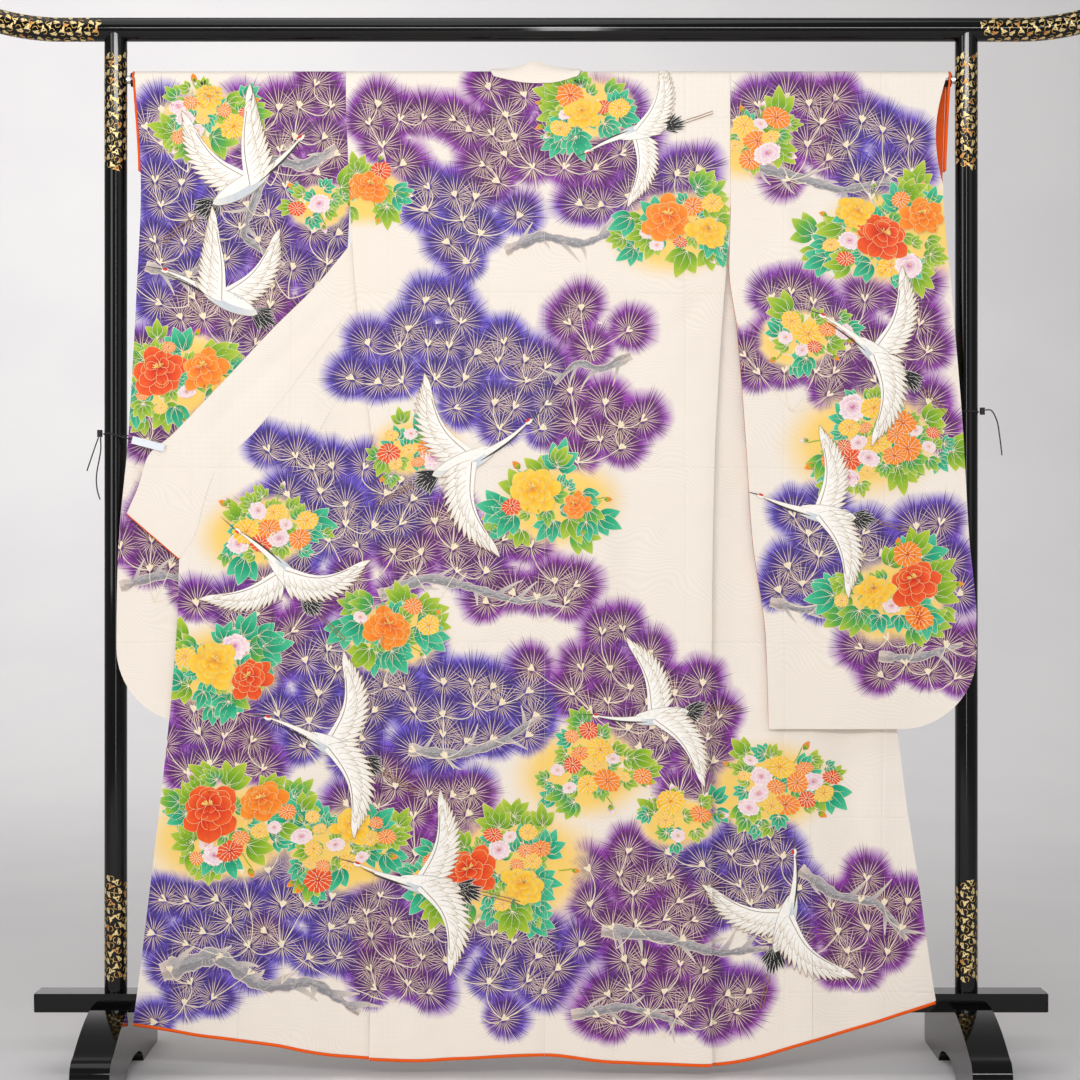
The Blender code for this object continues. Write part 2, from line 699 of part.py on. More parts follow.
def collar_run(side):
    """The collar along an opened front, from the neck to its end."""
    table = LEFT_COLLAR if side == LEFT else RIGHT_COLLAR
    grid = []
    stations = [COLLAR_TOP_Z] + [z for z in BODY_ROWS if COLLAR_END_Z <= z <= FRONT_TOP_Z]
    for height in stations:
        seam_x = side * (float(column(table, "z", "seam", height)) + SEAM / 2)
        edge_x = side * float(column(table, "z", "edge", height))
        edge_z = float(column(table, "z", "edge_z", height))
        row = []
        for part in np.linspace(0.0, 1.0, 4):
            x = seam_x + (edge_x - seam_x) * part
            z = height + (edge_z - height) * part
            row.append((x, float(open_depth(side, x, z)), z))
        grid.append(row)
    middle = np.array(grid)
    if side == LEFT:
        middle = middle[:, ::-1]
    return cloth("collar_left" if side == LEFT else "collar_right", middle, IVORY)


def neck_turn(side, angle):
    """A station of the neck collar where it turns over the rod, at an angle from the rod's top."""
    turn = math.radians(angle)
    y = COLLAR_FOLD_RADIUS * math.sin(turn)
    z = ROD_Z + COLLAR_FOLD_RADIUS * math.cos(turn)
    seam_x = (NECK_LEFT_X if side == LEFT else NECK_RIGHT_X) - side * 0.002
    return [(seam_x - side * NECK_TURN_WIDTH * part, y, z) for part in (0.0, 0.5, 1.0)]


def collar_at_neck():
    """The collar round the neck: it stands on the back's neck seam and turns over the rod at each end."""
    grid = [neck_turn(LEFT, angle) for angle in NECK_TURNS]
    for point in NECK:
        seam = Vector((point.seam_x, point.seam_y, point.seam_z))
        top = Vector((point.top_x, point.top_y, point.top_z))
        middle = (seam + top) / 2 + Vector((0.0, -0.0022, 0.0008))
        grid.append([tuple(seam), tuple(middle), tuple(top)])
    grid += [neck_turn(RIGHT, angle) for angle in NECK_TURNS[::-1]]
    return cloth("collar_neck", np.array(grid), IVORY)


def sleeve_layer(side, near):
    """One layer of a sleeve, folded over the rod: near is the side that faces the viewer."""
    table = LEFT_SLEEVE if side == LEFT else RIGHT_SLEEVE
    edge = LEFT_SLEEVE_EDGE if side == LEFT else RIGHT_SLEEVE_EDGE
    body = LEFT_BODY if side == LEFT else RIGHT_BODY
    bottom = LEFT_SLEEVE_BOTTOM_Z if side == LEFT else RIGHT_SLEEVE_BOTTOM_Z
    corner_z = bottom + CORNER_RADIUS
    corner_x = float(column(edge, "z", "x", corner_z)) - CORNER_RADIUS
    turns = [math.radians(angle) for angle in (0.0, 22.5, 45.0, 67.5, 90.0)]
    heights = list(SLEEVE_ROWS) + [corner_z - CORNER_RADIUS * math.sin(turn) for turn in turns]
    rows = [(angle, ROD_Z) for angle in FOLD_ANGLES] + [(None, z) for z in heights]
    grid = []
    for angle, z in rows:
        inner = float(column(table, "z", "inner_x", z))
        if z >= ATTACH_Z:
            inner = float(column(body, "z", "side", z)) + SEAM / 2
        outer = float(column(edge, "z", "x", z if angle is None else SLEEVE_TOP_Z))
        if z < corner_z:
            outer = corner_x + math.sqrt(max(CORNER_RADIUS ** 2 - (corner_z - z) ** 2, 0.0))
        if side == RIGHT and near and z > CUFF_END_Z:
            pull = math.sin(math.pi * (SLEEVE_TOP_Z - z) / (SLEEVE_TOP_Z - CUFF_END_Z))
            outer -= RIGHT_CUFF_PULL * max(pull, 0.0)
        gap = float(column(table, "z", "gap", z))
        shut = WALL + SLEEVE_SEAM
        row = []
        for part in np.linspace(0.0, 1.0, 8):
            x = inner + (outer - inner) * part
            if angle is not None:
                y, top = over_rod(angle, -1.0 if near else 1.0)
                row.append((side * x, y, top))
                continue
            inner_y = float(column(table, "z", "inner_y", z))
            outer_y = float(column(table, "z", "outer_y", z))
            y = inner_y + (outer_y - inner_y) * part
            swell = 1.0 - math.exp(-max(z - bottom, 0.0) / 0.02)
            sewn = 1.0 - float(smoothstep(CUFF_END_Z - 0.06, CUFF_END_Z, z))
            swell *= 1.0 - sewn * math.exp(-(outer - x) / 0.02)
            y_fold = 0.0015 * math.sin(2.0 * math.pi * x / 0.21 + 1.3) * (1.0 - smoothstep(1.0, 1.4, z))
            y += y_fold
            if not near:
                y += shut + (gap - shut) * swell
            row.append((side * x, y, z))
        grid.append(row)
    middle = np.array(grid)
    if side == LEFT:
        middle = middle[:, ::-1]
    if not near:
        middle = middle[:, ::-1]
    where = "left" if side == LEFT else "right"
    return cloth(f"sleeve_{where}_{'back' if near else 'front'}", middle, IVORY)


def hem_roll(name, points):
    """The rolled lining edge that shows just below the hem."""
    lowered = [(x, y, z - ROLL_DROP) for x, y, z in points]
    return tube(name, lowered, ROLL_RADIUS, 6, ORANGE, flatten=0.8)


def hem_rolls():
    """The lining rolls under both fronts and the back."""
    left_edge = LEFT_FRONT_EDGE[-1].x
    left_side = LEFT_BODY[-1].side
    right_edge = RIGHT_FRONT_EDGE[-1].x
    right_side = RIGHT_BODY[-1].side
    spans = (
        ("hem_lining_left", LEFT, -left_edge + 0.001, -left_side - 0.001, 12),
        ("hem_lining_back_left", 0.0, -left_side + 0.001, CENTRE_SEAM_X - 0.0005, 9),
        ("hem_lining_back_right", 0.0, CENTRE_SEAM_X + 0.0005, right_side - 0.001, 9),
        ("hem_lining_right", RIGHT, right_side + 0.001, right_edge - 0.001, 12),
    )
    for name, side, start, end, count in spans:
        points = []
        for x in np.linspace(start, end, count):
            depth = open_depth(side, x, 0.0) if side else layer_depth("back", x, 0.0)
            points.append((float(x), float(depth), float(column(HEM, "x", "z", x))))
        hem_roll(name, points)


def cuff_lining(side):
    """The lining that shows past the wrist opening, over the rod and down both layers."""
    table = LEFT_SLEEVE if side == LEFT else RIGHT_SLEEVE
    edge = LEFT_SLEEVE_EDGE if side == LEFT else RIGHT_SLEEVE_EDGE
    stations = [(z, -1.0, None) for z in CUFF_LINING_ROWS[::-1]]
    stations += [(None, -1.0, angle) for angle in (60.0, 30.0)]
    stations += [(None, 1.0, angle) for angle in (0.0, 30.0, 60.0)]
    stations += [(z, 1.0, None) for z in CUFF_LINING_ROWS]
    grid = []
    for z, facing, angle in stations:
        key = SLEEVE_TOP_Z if z is None else z
        x = float(column(edge, "z", "x", key)) + CUFF_LINING_GAP
        if z is None:
            y, height = over_rod(angle, facing)
        else:
            height = z
            y = float(column(table, "z", "outer_y", z))
            if facing > 0:
                y += float(column(table, "z", "gap", z))
        grid.append([(side * x, y, height), (side * (x + CUFF_LINING_WIDTH), y, height)])
    middle = np.array(grid)
    if side == RIGHT:
        middle = middle[:, ::-1]
    name = "cuff_lining_left" if side == LEFT else "cuff_lining_right"
    return cloth(name, middle, ORANGE, CUFF_LINING_WALL)


def rail_lift(x):
    """How much the rail's upturned ends rise above its straight middle."""
    return RAIL_BEND_RATE * max(abs(x) - RAIL_BEND_X, 0.0) ** 2


def rail():
    """The round top rail with its upturned ends."""
    bend = [RAIL_BEND_X + (RAIL_HALF_LENGTH - RAIL_BEND_X) * k / 6 for k in range(7)]
    xs = [-x for x in bend[::-1]] + [-0.4, 0.0, 0.4] + bend
    path = [(x, 0.0, RAIL_Z + rail_lift(x)) for x in xs]
    return tube("rail", path, RAIL_RADIUS, 20, LACQUER)


def post(side):
    """A round post whose top is hollowed to sit under the rail."""
    sides = 20
    ring = []
    for k in range(sides):
        angle = math.pi / 2 + math.pi / sides + 2.0 * math.pi * k / sides
        ring.append((POST_RADIUS * math.cos(angle), POST_RADIUS * math.sin(angle)))
    base = BAR_TOP_Z + SEAM
    points = [(side * POST_X + x, y, base) for x, y in ring]
    for x, y in ring:
        points.append((side * POST_X + x, y, RAIL_Z - math.sqrt(POST_SADDLE_RADIUS ** 2 - y * y)))
    faces = [tuple(range(sides - 1, -1, -1))]
    for k in range(sides):
        j = (k + 1) % sides
        faces.append((k, j, sides + j, sides + k))
    for k in range(sides // 2 - 1):
        a = sides + k
        b = sides + k + 1
        c = sides + sides - 2 - k
        d = sides + sides - 1 - k
        faces.append((a, b, c, d))
    return add_mesh("upright_left" if side == LEFT else "upright_right", points, faces, LACQUER, 30.0)


def crossbar():
    """The flat bar low down that ties the two feet and carries the posts."""
    profile = [
        (-BAR_HALF_DEPTH, BAR_BOTTOM_Z),
        (BAR_HALF_DEPTH, BAR_BOTTOM_Z),
        (BAR_HALF_DEPTH, BAR_TOP_Z),
        (-BAR_HALF_DEPTH, BAR_TOP_Z),
    ]
    return extrude_profile("crossbar", profile, BAR_HALF_LENGTH, 0.0, LACQUER, 0.0025)


def foot_profile():
    """The side outline of a foot: an arched top notched for the crossbar, round noses, a raised middle."""
    notch_y = BAR_HALF_DEPTH + SEAM
    nose_y = FOOT_HALF_LENGTH - FOOT_NOSE_RADIUS
    nose_z = FOOT_NOSE_Z - FOOT_NOSE_RADIUS
    half = [(notch_y, BAR_BOTTOM_Z - SEAM), (notch_y, FOOT_TOP_Z - 0.003), (notch_y + 0.004, FOOT_TOP_Z)]
    for k in range(1, 7):
        t = k / 7
        y = notch_y + 0.004 + (nose_y - notch_y - 0.004) * t
        half.append((y, FOOT_TOP_Z - (FOOT_TOP_Z - FOOT_NOSE_Z) * t ** 1.8))
    for k in range(6):
        turn = math.radians(80.0 - 16.0 * k)
        half.append((nose_y + FOOT_NOSE_RADIUS * math.cos(turn), nose_z + FOOT_NOSE_RADIUS * math.sin(turn)))
    half.append((FOOT_HALF_LENGTH, 0.006))
    half.append((FOOT_HALF_LENGTH - 0.006, 0.0))
    half.append((FOOT_ARCH_HALF_LENGTH, 0.0))
    for k in range(1, 5):
        turn = math.radians(90.0 * k / 5)
        y = FOOT_ARCH_HALF_LENGTH * math.cos(turn)
        half.append((y, FOOT_ARCH_HEIGHT * math.sin(turn)))
    front = [(-y, z) for y, z in half]
    return half[::-1] + front


def foot(side):
    """A foot that runs front to back under a post."""
    name = "foot_left" if side == LEFT else "foot_right"
    notch = BAR_HALF_DEPTH + 0.001
    return extrude_profile(name, foot_profile(), FOOT_HALF_WIDTH, side * POST_X, LACQUER, 0.004, notch)


def straight_rod(name, start, end, radius, sides, finish):
    """A straight round rod along X at the height of the garment rod."""
    return tube(name, [(start, 0.0, ROD_Z), (end, 0.0, ROD_Z)], radius, sides, finish)


def garment_rod():
    """The rod through the sleeves and the silver pins that carry it on the posts."""
    straight_rod("garment_rod", -ROD_HALF_LENGTH, ROD_HALF_LENGTH, ROD_RADIUS, 20, LACQUER)
    for side in (LEFT, RIGHT):
        start = side * (ROD_HALF_LENGTH + SEAM)
        end = side * (POST_X - POST_RADIUS - SEAM)
        name = "rod_pin_left" if side == LEFT else "rod_pin_right"
        straight_rod(name, min(start, end), max(start, end), PIN_RADIUS, 12, STEEL)


def clip(side):
    """A white clip: two jaws joined at the end by the post, closed on the collar's free edge."""
    centre = Vector((side * CLIP_X, 0.0, CLIP_Z))
    centre.y = float(open_depth(side, centre.x, centre.z))
    half = CLIP_LENGTH / 2
    jaw = CLIP_SLOT / 2
    outer = jaw + CLIP_JAW
    outline = [(-half, -outer), (half, -outer), (half, -jaw), (-half + CLIP_BRIDGE, -jaw)]
    outline += [(-half + CLIP_BRIDGE, jaw), (half, jaw), (half, outer), (-half, outer)]
    outer_y = float(open_depth(side, side * (CLIP_X + half), CLIP_Z))
    inner_y = float(open_depth(side, side * (CLIP_X - half), CLIP_Z))
    yaw = math.atan2(outer_y - inner_y, CLIP_LENGTH)
    points = []
    for height in (-CLIP_HEIGHT / 2, CLIP_HEIGHT / 2):
        for along, depth in outline:
            x = along * math.cos(CLIP_TILT) + height * math.sin(CLIP_TILT)
            z = -along * math.sin(CLIP_TILT) + height * math.cos(CLIP_TILT)
            y = depth - x * math.sin(yaw)
            points.append((centre.x - side * x, centre.y + y, centre.z + z))
    count = len(outline)
    sides = [(i, (i + 1) % count, count + (i + 1) % count, count + i) for i in range(count)]
    faces = [tuple(range(count - 1, -1, -1)), tuple(range(count, 2 * count))] + sides
    if side == RIGHT:
        faces = [face[::-1] for face in faces]
    return add_mesh("clip_left" if side == LEFT else "clip_right", points, faces, WHITE_PLASTIC, 30.0)


def tie(side, z):
    """The elastic from a clip to its post: it runs on to the post and then once round it."""
    radius = POST_RADIUS + TIE_GAP + ELASTIC_RADIUS
    clip_out = POST_X - CLIP_X - CLIP_LENGTH / 2 * math.cos(CLIP_TILT) - CLIP_GAP
    clip_z = CLIP_Z + CLIP_LENGTH / 2 * math.sin(CLIP_TILT)
    clip_y = float(open_depth(side, side * (POST_X - clip_out), clip_z))
    towards_clip = math.atan2(clip_y, clip_out)
    leave = towards_clip - math.acos(radius / math.hypot(clip_out, clip_y))
    path = [(side * (POST_X - clip_out), clip_y, clip_z)]
    for part in np.linspace(0.0, 1.0, TIE_POINTS):
        angle = leave - TIE_WIND * part
        x = POST_X - radius * math.cos(angle)
        path.append((side * x, radius * math.sin(angle), z - TIE_CLIMB * part))
    return tube("tie_left" if side == LEFT else "tie_right", path, ELASTIC_RADIUS, 6, ELASTIC)


def bead(side, z):
    """The small stopper that closes the elastic on the outer side of a post."""
    x = side * (POST_X + POST_RADIUS + TIE_GAP + 2.0 * ELASTIC_RADIUS + BEAD_GAP + BEAD_RADIUS)
    path = [(x, 0.0, z - BEAD_HALF_HEIGHT), (x, 0.0, z + BEAD_HALF_HEIGHT)]
    return tube("bead_left" if side == LEFT else "bead_right", path, BEAD_RADIUS, 10, ELASTIC)


def catmull_rom(route, count):
    """Points along a smooth curve through a route's own points."""
    ends = [2.0 * route[0] - route[1]] + list(route) + [2.0 * route[-1] - route[-2]]
    points = []
    spans = len(route) - 1
    for k in range(count):
        at = k / (count - 1) * spans
        i = min(int(at), spans - 1)
        t = at - i
        a, b, c, d = ends[i:i + 4]
        point = 0.5 * (2.0 * b + (c - a) * t + (2.0 * a - 5.0 * b + 4.0 * c - d) * t * t
                       + (3.0 * b - a - 3.0 * c + d) * t ** 3)
        points.append(point)
    return points


def free_end(name, route, count):
    """A loose end of the elastic, as a curve with a round bevel."""
    curve = bpy.data.curves.new(name, "CURVE")
    curve.dimensions = "3D"
    curve.bevel_depth = ELASTIC_RADIUS
    curve.bevel_resolution = 2
    curve.use_fill_caps = True
    points = catmull_rom([Vector(point) for point in route], count)
    spline = curve.splines.new("POLY")
    spline.points.add(len(points) - 1)
    for target, point in zip(spline.points, points):
        target.co = (*point, 1.0)
    obj = bpy.data.objects.new(name, curve)
    bpy.context.collection.objects.link(obj)
    paint(obj, ELASTIC)
    return obj


def stand():
    """The stand: rail, posts, crossbar, feet and the rod that carries the garment."""
    rail()
    crossbar()
    for side in (LEFT, RIGHT):
        post(side)
        foot(side)
    garment_rod()


def garment():
    """Every cloth piece of the garment."""
    for side in (LEFT, RIGHT):
        back_panel(side)
        inner_front_panel(side)
        open_front_panel(side)
        okumi_panel(side)
        collar_run(side)
        sleeve_layer(side, near=True)
        sleeve_layer(side, near=False)
        cuff_lining(side)
    collar_at_neck()
    hem_rolls()


def clips_and_ties():
    """What holds the opened fronts to the posts."""
    for side, z in ((LEFT, LEFT_TIE_Z), (RIGHT, RIGHT_TIE_Z)):
        clip(side)
        tie(side, z)
        bead(side, z)
    free_end("tie_left_end_short", LEFT_END_SHORT, 12)
    free_end("tie_left_end_long", LEFT_END_LONG, 20)
    free_end("tie_right_end", RIGHT_END, 18)


clear_scene()
stand()
garment()
clips_and_ties()
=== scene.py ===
"""Looks of a furisode that hangs with its back to the viewer on a black lacquer kimono stand.

Metres, +Z up, X to the viewer's right, the viewer looks along +Y. Every cloth piece is a fine grid on
the form of its CAD solid. The painted design is worked out in the plane of the hung cloth, (x, z), and
laid on the pieces from there: soft pine clouds in the cloth's own shader, and flowers, leaves, birds
and boughs as thin inked shapes on the cloth.
"""

import json
import logging
import math
from dataclasses import dataclass, field, replace
from enum import Enum
from typing import Callable, Sequence

import bpy
import numpy as np
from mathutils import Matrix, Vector

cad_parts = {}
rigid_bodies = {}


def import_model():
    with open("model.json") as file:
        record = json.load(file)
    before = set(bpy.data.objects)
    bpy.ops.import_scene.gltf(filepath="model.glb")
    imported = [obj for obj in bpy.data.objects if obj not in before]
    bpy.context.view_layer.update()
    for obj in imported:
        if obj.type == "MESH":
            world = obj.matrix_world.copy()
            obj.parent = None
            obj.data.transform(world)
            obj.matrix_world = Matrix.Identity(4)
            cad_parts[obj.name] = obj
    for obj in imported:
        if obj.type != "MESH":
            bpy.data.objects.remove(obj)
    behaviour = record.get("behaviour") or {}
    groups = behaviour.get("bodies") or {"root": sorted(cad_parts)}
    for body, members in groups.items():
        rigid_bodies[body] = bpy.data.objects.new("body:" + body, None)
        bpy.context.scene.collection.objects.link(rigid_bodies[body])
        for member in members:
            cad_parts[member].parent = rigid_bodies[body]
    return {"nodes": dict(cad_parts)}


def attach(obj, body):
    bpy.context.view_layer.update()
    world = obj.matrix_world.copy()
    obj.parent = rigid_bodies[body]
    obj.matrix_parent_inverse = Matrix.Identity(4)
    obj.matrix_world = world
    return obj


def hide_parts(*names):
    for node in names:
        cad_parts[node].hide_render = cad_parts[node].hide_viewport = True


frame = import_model()

Array = np.ndarray
Colour = tuple[float, float, float]
Field = Callable[[Array, Array], Array]
Piece = bpy.types.Object
Finish = bpy.types.Material
Socket = bpy.types.NodeSocket
Value = Socket | Sequence[float] | float | None
Random = np.random.Generator

# Cloth, as in the CAD model
WALL = 0.0014
SEAM = 0.0003
LAYER_GAP = 0.0015
SEAM_DIP = 0.0007
SEAM_REACH = 0.0035
SLOPE_STEP = 0.002
CENTRE_SEAM_X = 0.006
CELL = 0.0072
ROD_Z = 1.663
ROD_RADIUS = 0.012
FOLD_RADIUS = ROD_RADIUS + 0.0007 + LAYER_GAP / 2
FOLD_MM = 1000.0 * FOLD_RADIUS
FOLD_SEAM = 0.0004
COLLAR_FOLD_RADIUS = FOLD_RADIUS + LAYER_GAP + 0.0009
QUARTER = FOLD_RADIUS * math.pi / 2
ATTACH_Z = 1.45
SIDE_SEAM_TOP_Z = 1.3
POINT_Z = 1.47
FRONT_TOP_Z = 1.628
COLLAR_TOP_Z = 1.655
COLLAR_END_Z = 0.862
HEM_BLEND_Z = 0.5
CUFF_END_Z = 1.48
SLEEVE_TOP_Z = 1.68
SLEEVE_SEAM = 0.0005
CORNER_RADIUS = 0.125
RIGHT_CUFF_PULL = 0.016
NECK_LEFT_X = -0.088
NECK_RIGHT_X = 0.07
NECK_TURN_WIDTH = 0.013
NECK_BLEND_Z = 1.587
REACH_START_X = 0.3
REACH_END_X = 0.651

# Stand
RAIL_Z = 1.747
RAIL_RADIUS = 0.02
RAIL_HALF_LENGTH = 0.97
RAIL_BEND_X = 0.8
RAIL_BEND_RATE = 1.22
POST_X = 0.7125
POST_RADIUS = 0.019
BAR_HALF_LENGTH = 0.845
BAR_HALF_DEPTH = 0.028
BAR_BOTTOM_Z = 0.106
BAR_TOP_Z = 0.137
FOOT_HALF_WIDTH = 0.032
FOOT_HALF_LENGTH = 0.25
FOOT_TOP_Z = 0.12
FOOT_NOSE_Z = 0.072
FOOT_NOSE_RADIUS = 0.03
FOOT_ARCH_HALF_LENGTH = 0.09
FOOT_ARCH_HEIGHT = 0.03
ELASTIC_RADIUS = 0.0011
GOLD_SPACING = 0.014
GOLD_ROWS = 8

# Painting
PRESSED_ACROSS = 0.1645
PRESSED_DOWN = 0.291
TUFT_SPACING = 0.047
TUFT_GAP = 0.031
DAISY_SPACING = 0.0315
INK_CELL = 0.0056
INK_LIFT = 0.00035
INK_STEP = 0.000024
LEAF_LEVEL = 6
DAISY_LEVEL = 18
PEONY_LEVEL = 40
CRANE_LEVEL = 58
FAR_AWAY = 5.0


class Side(Enum):
    """The viewer's left or right, as the sign of X."""

    LEFT = -1
    RIGHT = 1

    @property
    def word(self) -> str:
        """The side's name in lower case."""
        return self.name.lower()


class Group(Enum):
    """The stretches of cloth that carry one painted design each."""

    BODY = "body"
    LEFT_SLEEVE = "left sleeve"
    RIGHT_SLEEVE = "right sleeve"
    LEFT_FAR = "left sleeve, other side"
    RIGHT_FAR = "right sleeve, other side"
    INNER = "fronts behind the back"
    PLAIN = "no painting"


def columns(names: str, *rows: Sequence[float]) -> dict[str, Array]:
    """Turn rows of millimetres into named columns of metres; the names are parted by spaces."""
    return {name: np.array(values, float) / 1000.0 for name, values in zip(names.split(), zip(*rows))}


DEPTHS = columns("z back inner_front open_front",
    (1663, -FOLD_MM, FOLD_MM, 17.3), (1600, -14.5, 6.5, 10.7), (1500, -16.5, -4, 0.2),
    (1450, -17.8, -8.5, -4.3), (1300, -21.5, -16.8, -12.6), (1000, -27.5, -23.3, -19.1),
    (600, -36, -31.8, -27.6), (300, -41, -36.8, -32.6), (0, -45.5, -41.3, -37.1),
)
BODY = {
    Side.LEFT: columns("z side fold okumi",
        (1680, 326, 66, 76), (1628, 326, 82, 100), (1545, 323, 118, 152), (1470, 320, 146, 203),
        (1359, 313, 173, 245), (1295, 308, 185, 266), (1214, 300, 191, 293), (1129, 290, 202, 340),
        (1051, 280, 215, 380), (984, 273, 223, 408), (906, 266, 228, 426), (729, 261, 238, 451),
        (523, 262, 245, 473), (403, 271, 252, 488), (263, 281, 262, 495), (0, 285, 270, 504),
    ),
    Side.RIGHT: columns("z side fold okumi",
        (1680, 316, 50, 60), (1628, 316, 66, 84), (1545, 316, 104, 140), (1470, 316, 136, 196),
        (1359, 310, 170, 246), (1295, 305, 184, 270), (1214, 299, 193, 301), (1129, 294, 205, 340),
        (1051, 290, 216, 373), (984, 288, 223, 396), (906, 286, 230, 409), (729, 284, 240, 430),
        (523, 281, 248, 446), (403, 284, 254, 448), (263, 284, 260, 450), (0, 284, 264, 451),
    ),
}
COLLAR = {
    Side.LEFT: columns("z seam edge edge_z",
        (1655, 84, 94.5, 1663.5), (1628, 100, 116.5, 1640), (1545, 152, 172.6, 1559),
        (1470, 203, 232.7, 1490), (1390, 255, 294, 1417), (1270, 326, 383, 1309), (1195, 380, 440, 1252),
        (1079, 471, 540, 1145), (1001, 544, 614, 1067), (952, 561, 653, 1032), (906, 573, 668, 984),
        (862, 601, 688, 937),
    ),
    Side.RIGHT: columns("z seam edge edge_z",
        (1655, 68, 78.5, 1663.5), (1628, 84, 100.5, 1640), (1545, 140, 160.6, 1559),
        (1470, 196, 225.7, 1490), (1390, 247, 286, 1417), (1270, 322, 378, 1309), (1195, 372, 432, 1252),
        (1079, 460, 529, 1145), (1001, 530, 600, 1067), (952, 549, 640, 1032), (906, 562, 656, 984),
        (862, 586, 672, 937),
    ),
}
FRONT_EDGE = {
    Side.LEFT: columns("z x",
        (862, 601), (763, 604), (629, 614), (513, 626), (280, 651), (0, 676.5),
    ),
    Side.RIGHT: columns("z x",
        (862, 586), (763, 586), (629, 589), (513, 601), (280, 631), (0, 656),
    ),
}
HEM = columns("x z",
    (-679, 93), (-558, 73), (-443, 57), (-328, 38), (-213, 33), (-2, 42), (125, 30), (285, 25), (456, 65),
    (656, 127),
)
NECK = columns("seam_x seam_y seam_z top_x top_y top_z",
    (-85.8, -5.6, 1677.8, -74.5, -1.5, 1679.7), (-83.5, -12, 1674.4, -74, -3.5, 1680),
    (-79, -16.8, 1667.2, -70.5, -4, 1680.3), (-66, -17, 1663.5, -62, -4, 1680.8),
    (-52, -17, 1660, -48, -4.5, 1682), (-30, -17, 1656, -28, -4, 1687), (-16, -17, 1655, -16.5, -3, 1693.5),
    (-4, -17, 1654.8, -6, -2.5, 1693), (14, -17, 1655.2, 10, -3.5, 1686.5), (36, -17, 1659, 33, -4.5, 1682),
    (50, -17, 1663.5, 46, -4, 1680.8), (61, -16.8, 1667.2, 52.5, -4, 1680.3),
    (65.5, -12, 1674.4, 56, -3.5, 1680), (67.8, -5.6, 1677.8, 56.5, -1.5, 1679.7),
)
REACHES = columns("z left right",
    (1450, -20, -4), (1200, -33, -8), (1050, -36, -8), (900, -39, -11), (600, -41, -20), (300, -42.5, -29),
    (0, -44, -36),
)
SLEEVE = {
    Side.LEFT: columns("z inner_x inner_y outer_y gap",
        (1663, 326.3, -FOLD_MM, -FOLD_MM, 2 * FOLD_MM), (1600, 325, -14.5, -14.5, 21),
        (1500, 322, -16.5, -16, 12.5), (1450, 320.5, -17.8, -15.5, 9.3), (1400, 323, -11, -15, 9),
        (1370, 325, -6, -15, 9), (1300, 327, -4, -15, 9), (1060, 336, -10, -24, 8.5),
        (860, 344, -14.7, -30.5, 7.5), (588, 355, -20.5, -32.5, 7),
    ),
    Side.RIGHT: columns("z inner_x inner_y outer_y gap",
        (1663, 316.3, -FOLD_MM, -FOLD_MM, 2 * FOLD_MM), (1600, 316.3, -14.5, -14.5, 21),
        (1500, 316.3, -16.5, -17, 12.5), (1450, 316.3, -17.8, -18.5, 9.3), (1400, 315, -21.5, -23, 9.3),
        (1345, 313.5, -25.5, -27, 9.3), (1245, 326, -30, -31, 9.3), (1062, 340, -34, -34, 9),
        (896, 351, -36.5, -36.5, 8.5), (729, 373, -39.5, -39.5, 7.5), (579, 378, -41.5, -41.5, 7),
    ),
}
SLEEVE_EDGE = {
    Side.LEFT: columns("z x",
        (1680, 679.3), (1487, 668), (1295, 676), (1062, 688), (862, 704), (729, 706), (588, 706),
    ),
    Side.RIGHT: columns("z x",
        (1680, 681), (1470, 671.5), (1295, 684), (1079, 701), (896, 711), (763, 722.5), (579, 722.5),
    ),
}
SLEEVE_BOTTOM = {Side.LEFT: 0.588, Side.RIGHT: 0.579}

# Soft creases: troughs have a negative height, ridges a positive one
BODY_CREASES = columns("x0 z0 x1 z1 width height",
    (-330, 1300, 310, 1292, 12, -0.8), (-280, 1000, 280, 1006, 12, -0.7), (-270, 715, 280, 722, 12, -0.8),
    (-200, 1620, -240, 1150, 20, 1.6), (200, 1600, 235, 1100, 18, 1.4), (-70, 1500, -100, 900, 22, -1.4),
    (100, 1300, 120, 550, 20, 1.6), (-170, 850, -200, 60, 20, 2.2), (180, 800, 210, 50, 18, -1.9),
    (-370, 900, -440, 90, 22, 2), (-550, 800, -610, 110, 18, -1.9), (360, 600, 380, 70, 20, 1.9),
    (500, 800, 540, 130, 20, -1.9), (-300, 1330, -600, 1030, 12, -1.4), (40, 1620, 90, 1500, 12, -1.1),
    (-60, 1620, -120, 1480, 13, -1.1), (290, 1310, 200, 1220, 14, -1.4), (-300, 1330, -200, 1200, 14, -1.5),
)
SLEEVE_CREASES = columns("x0 z0 x1 z1 width height",
    (-660, 1295, -340, 1300, 12, -0.8), (-700, 985, -360, 992, 12, -0.8), (-400, 1620, -370, 1200, 16, 1.4),
    (-600, 1600, -570, 1100, 18, -1.5), (-660, 950, -640, 640, 16, 1.6), (-500, 950, -470, 620, 18, -1.4),
    (340, 1292, 680, 1296, 12, -0.8), (350, 1000, 700, 994, 12, -0.8), (390, 712, 710, 705, 12, -0.8),
    (400, 1600, 430, 1050, 18, 1.5), (580, 1600, 560, 1100, 18, -1.5), (470, 1000, 500, 620, 18, 1.6),
    (620, 950, 630, 620, 18, -1.6), (670, 1420, 600, 1500, 14, -1.4), (-660, 1440, -580, 1520, 14, -1.4),
)


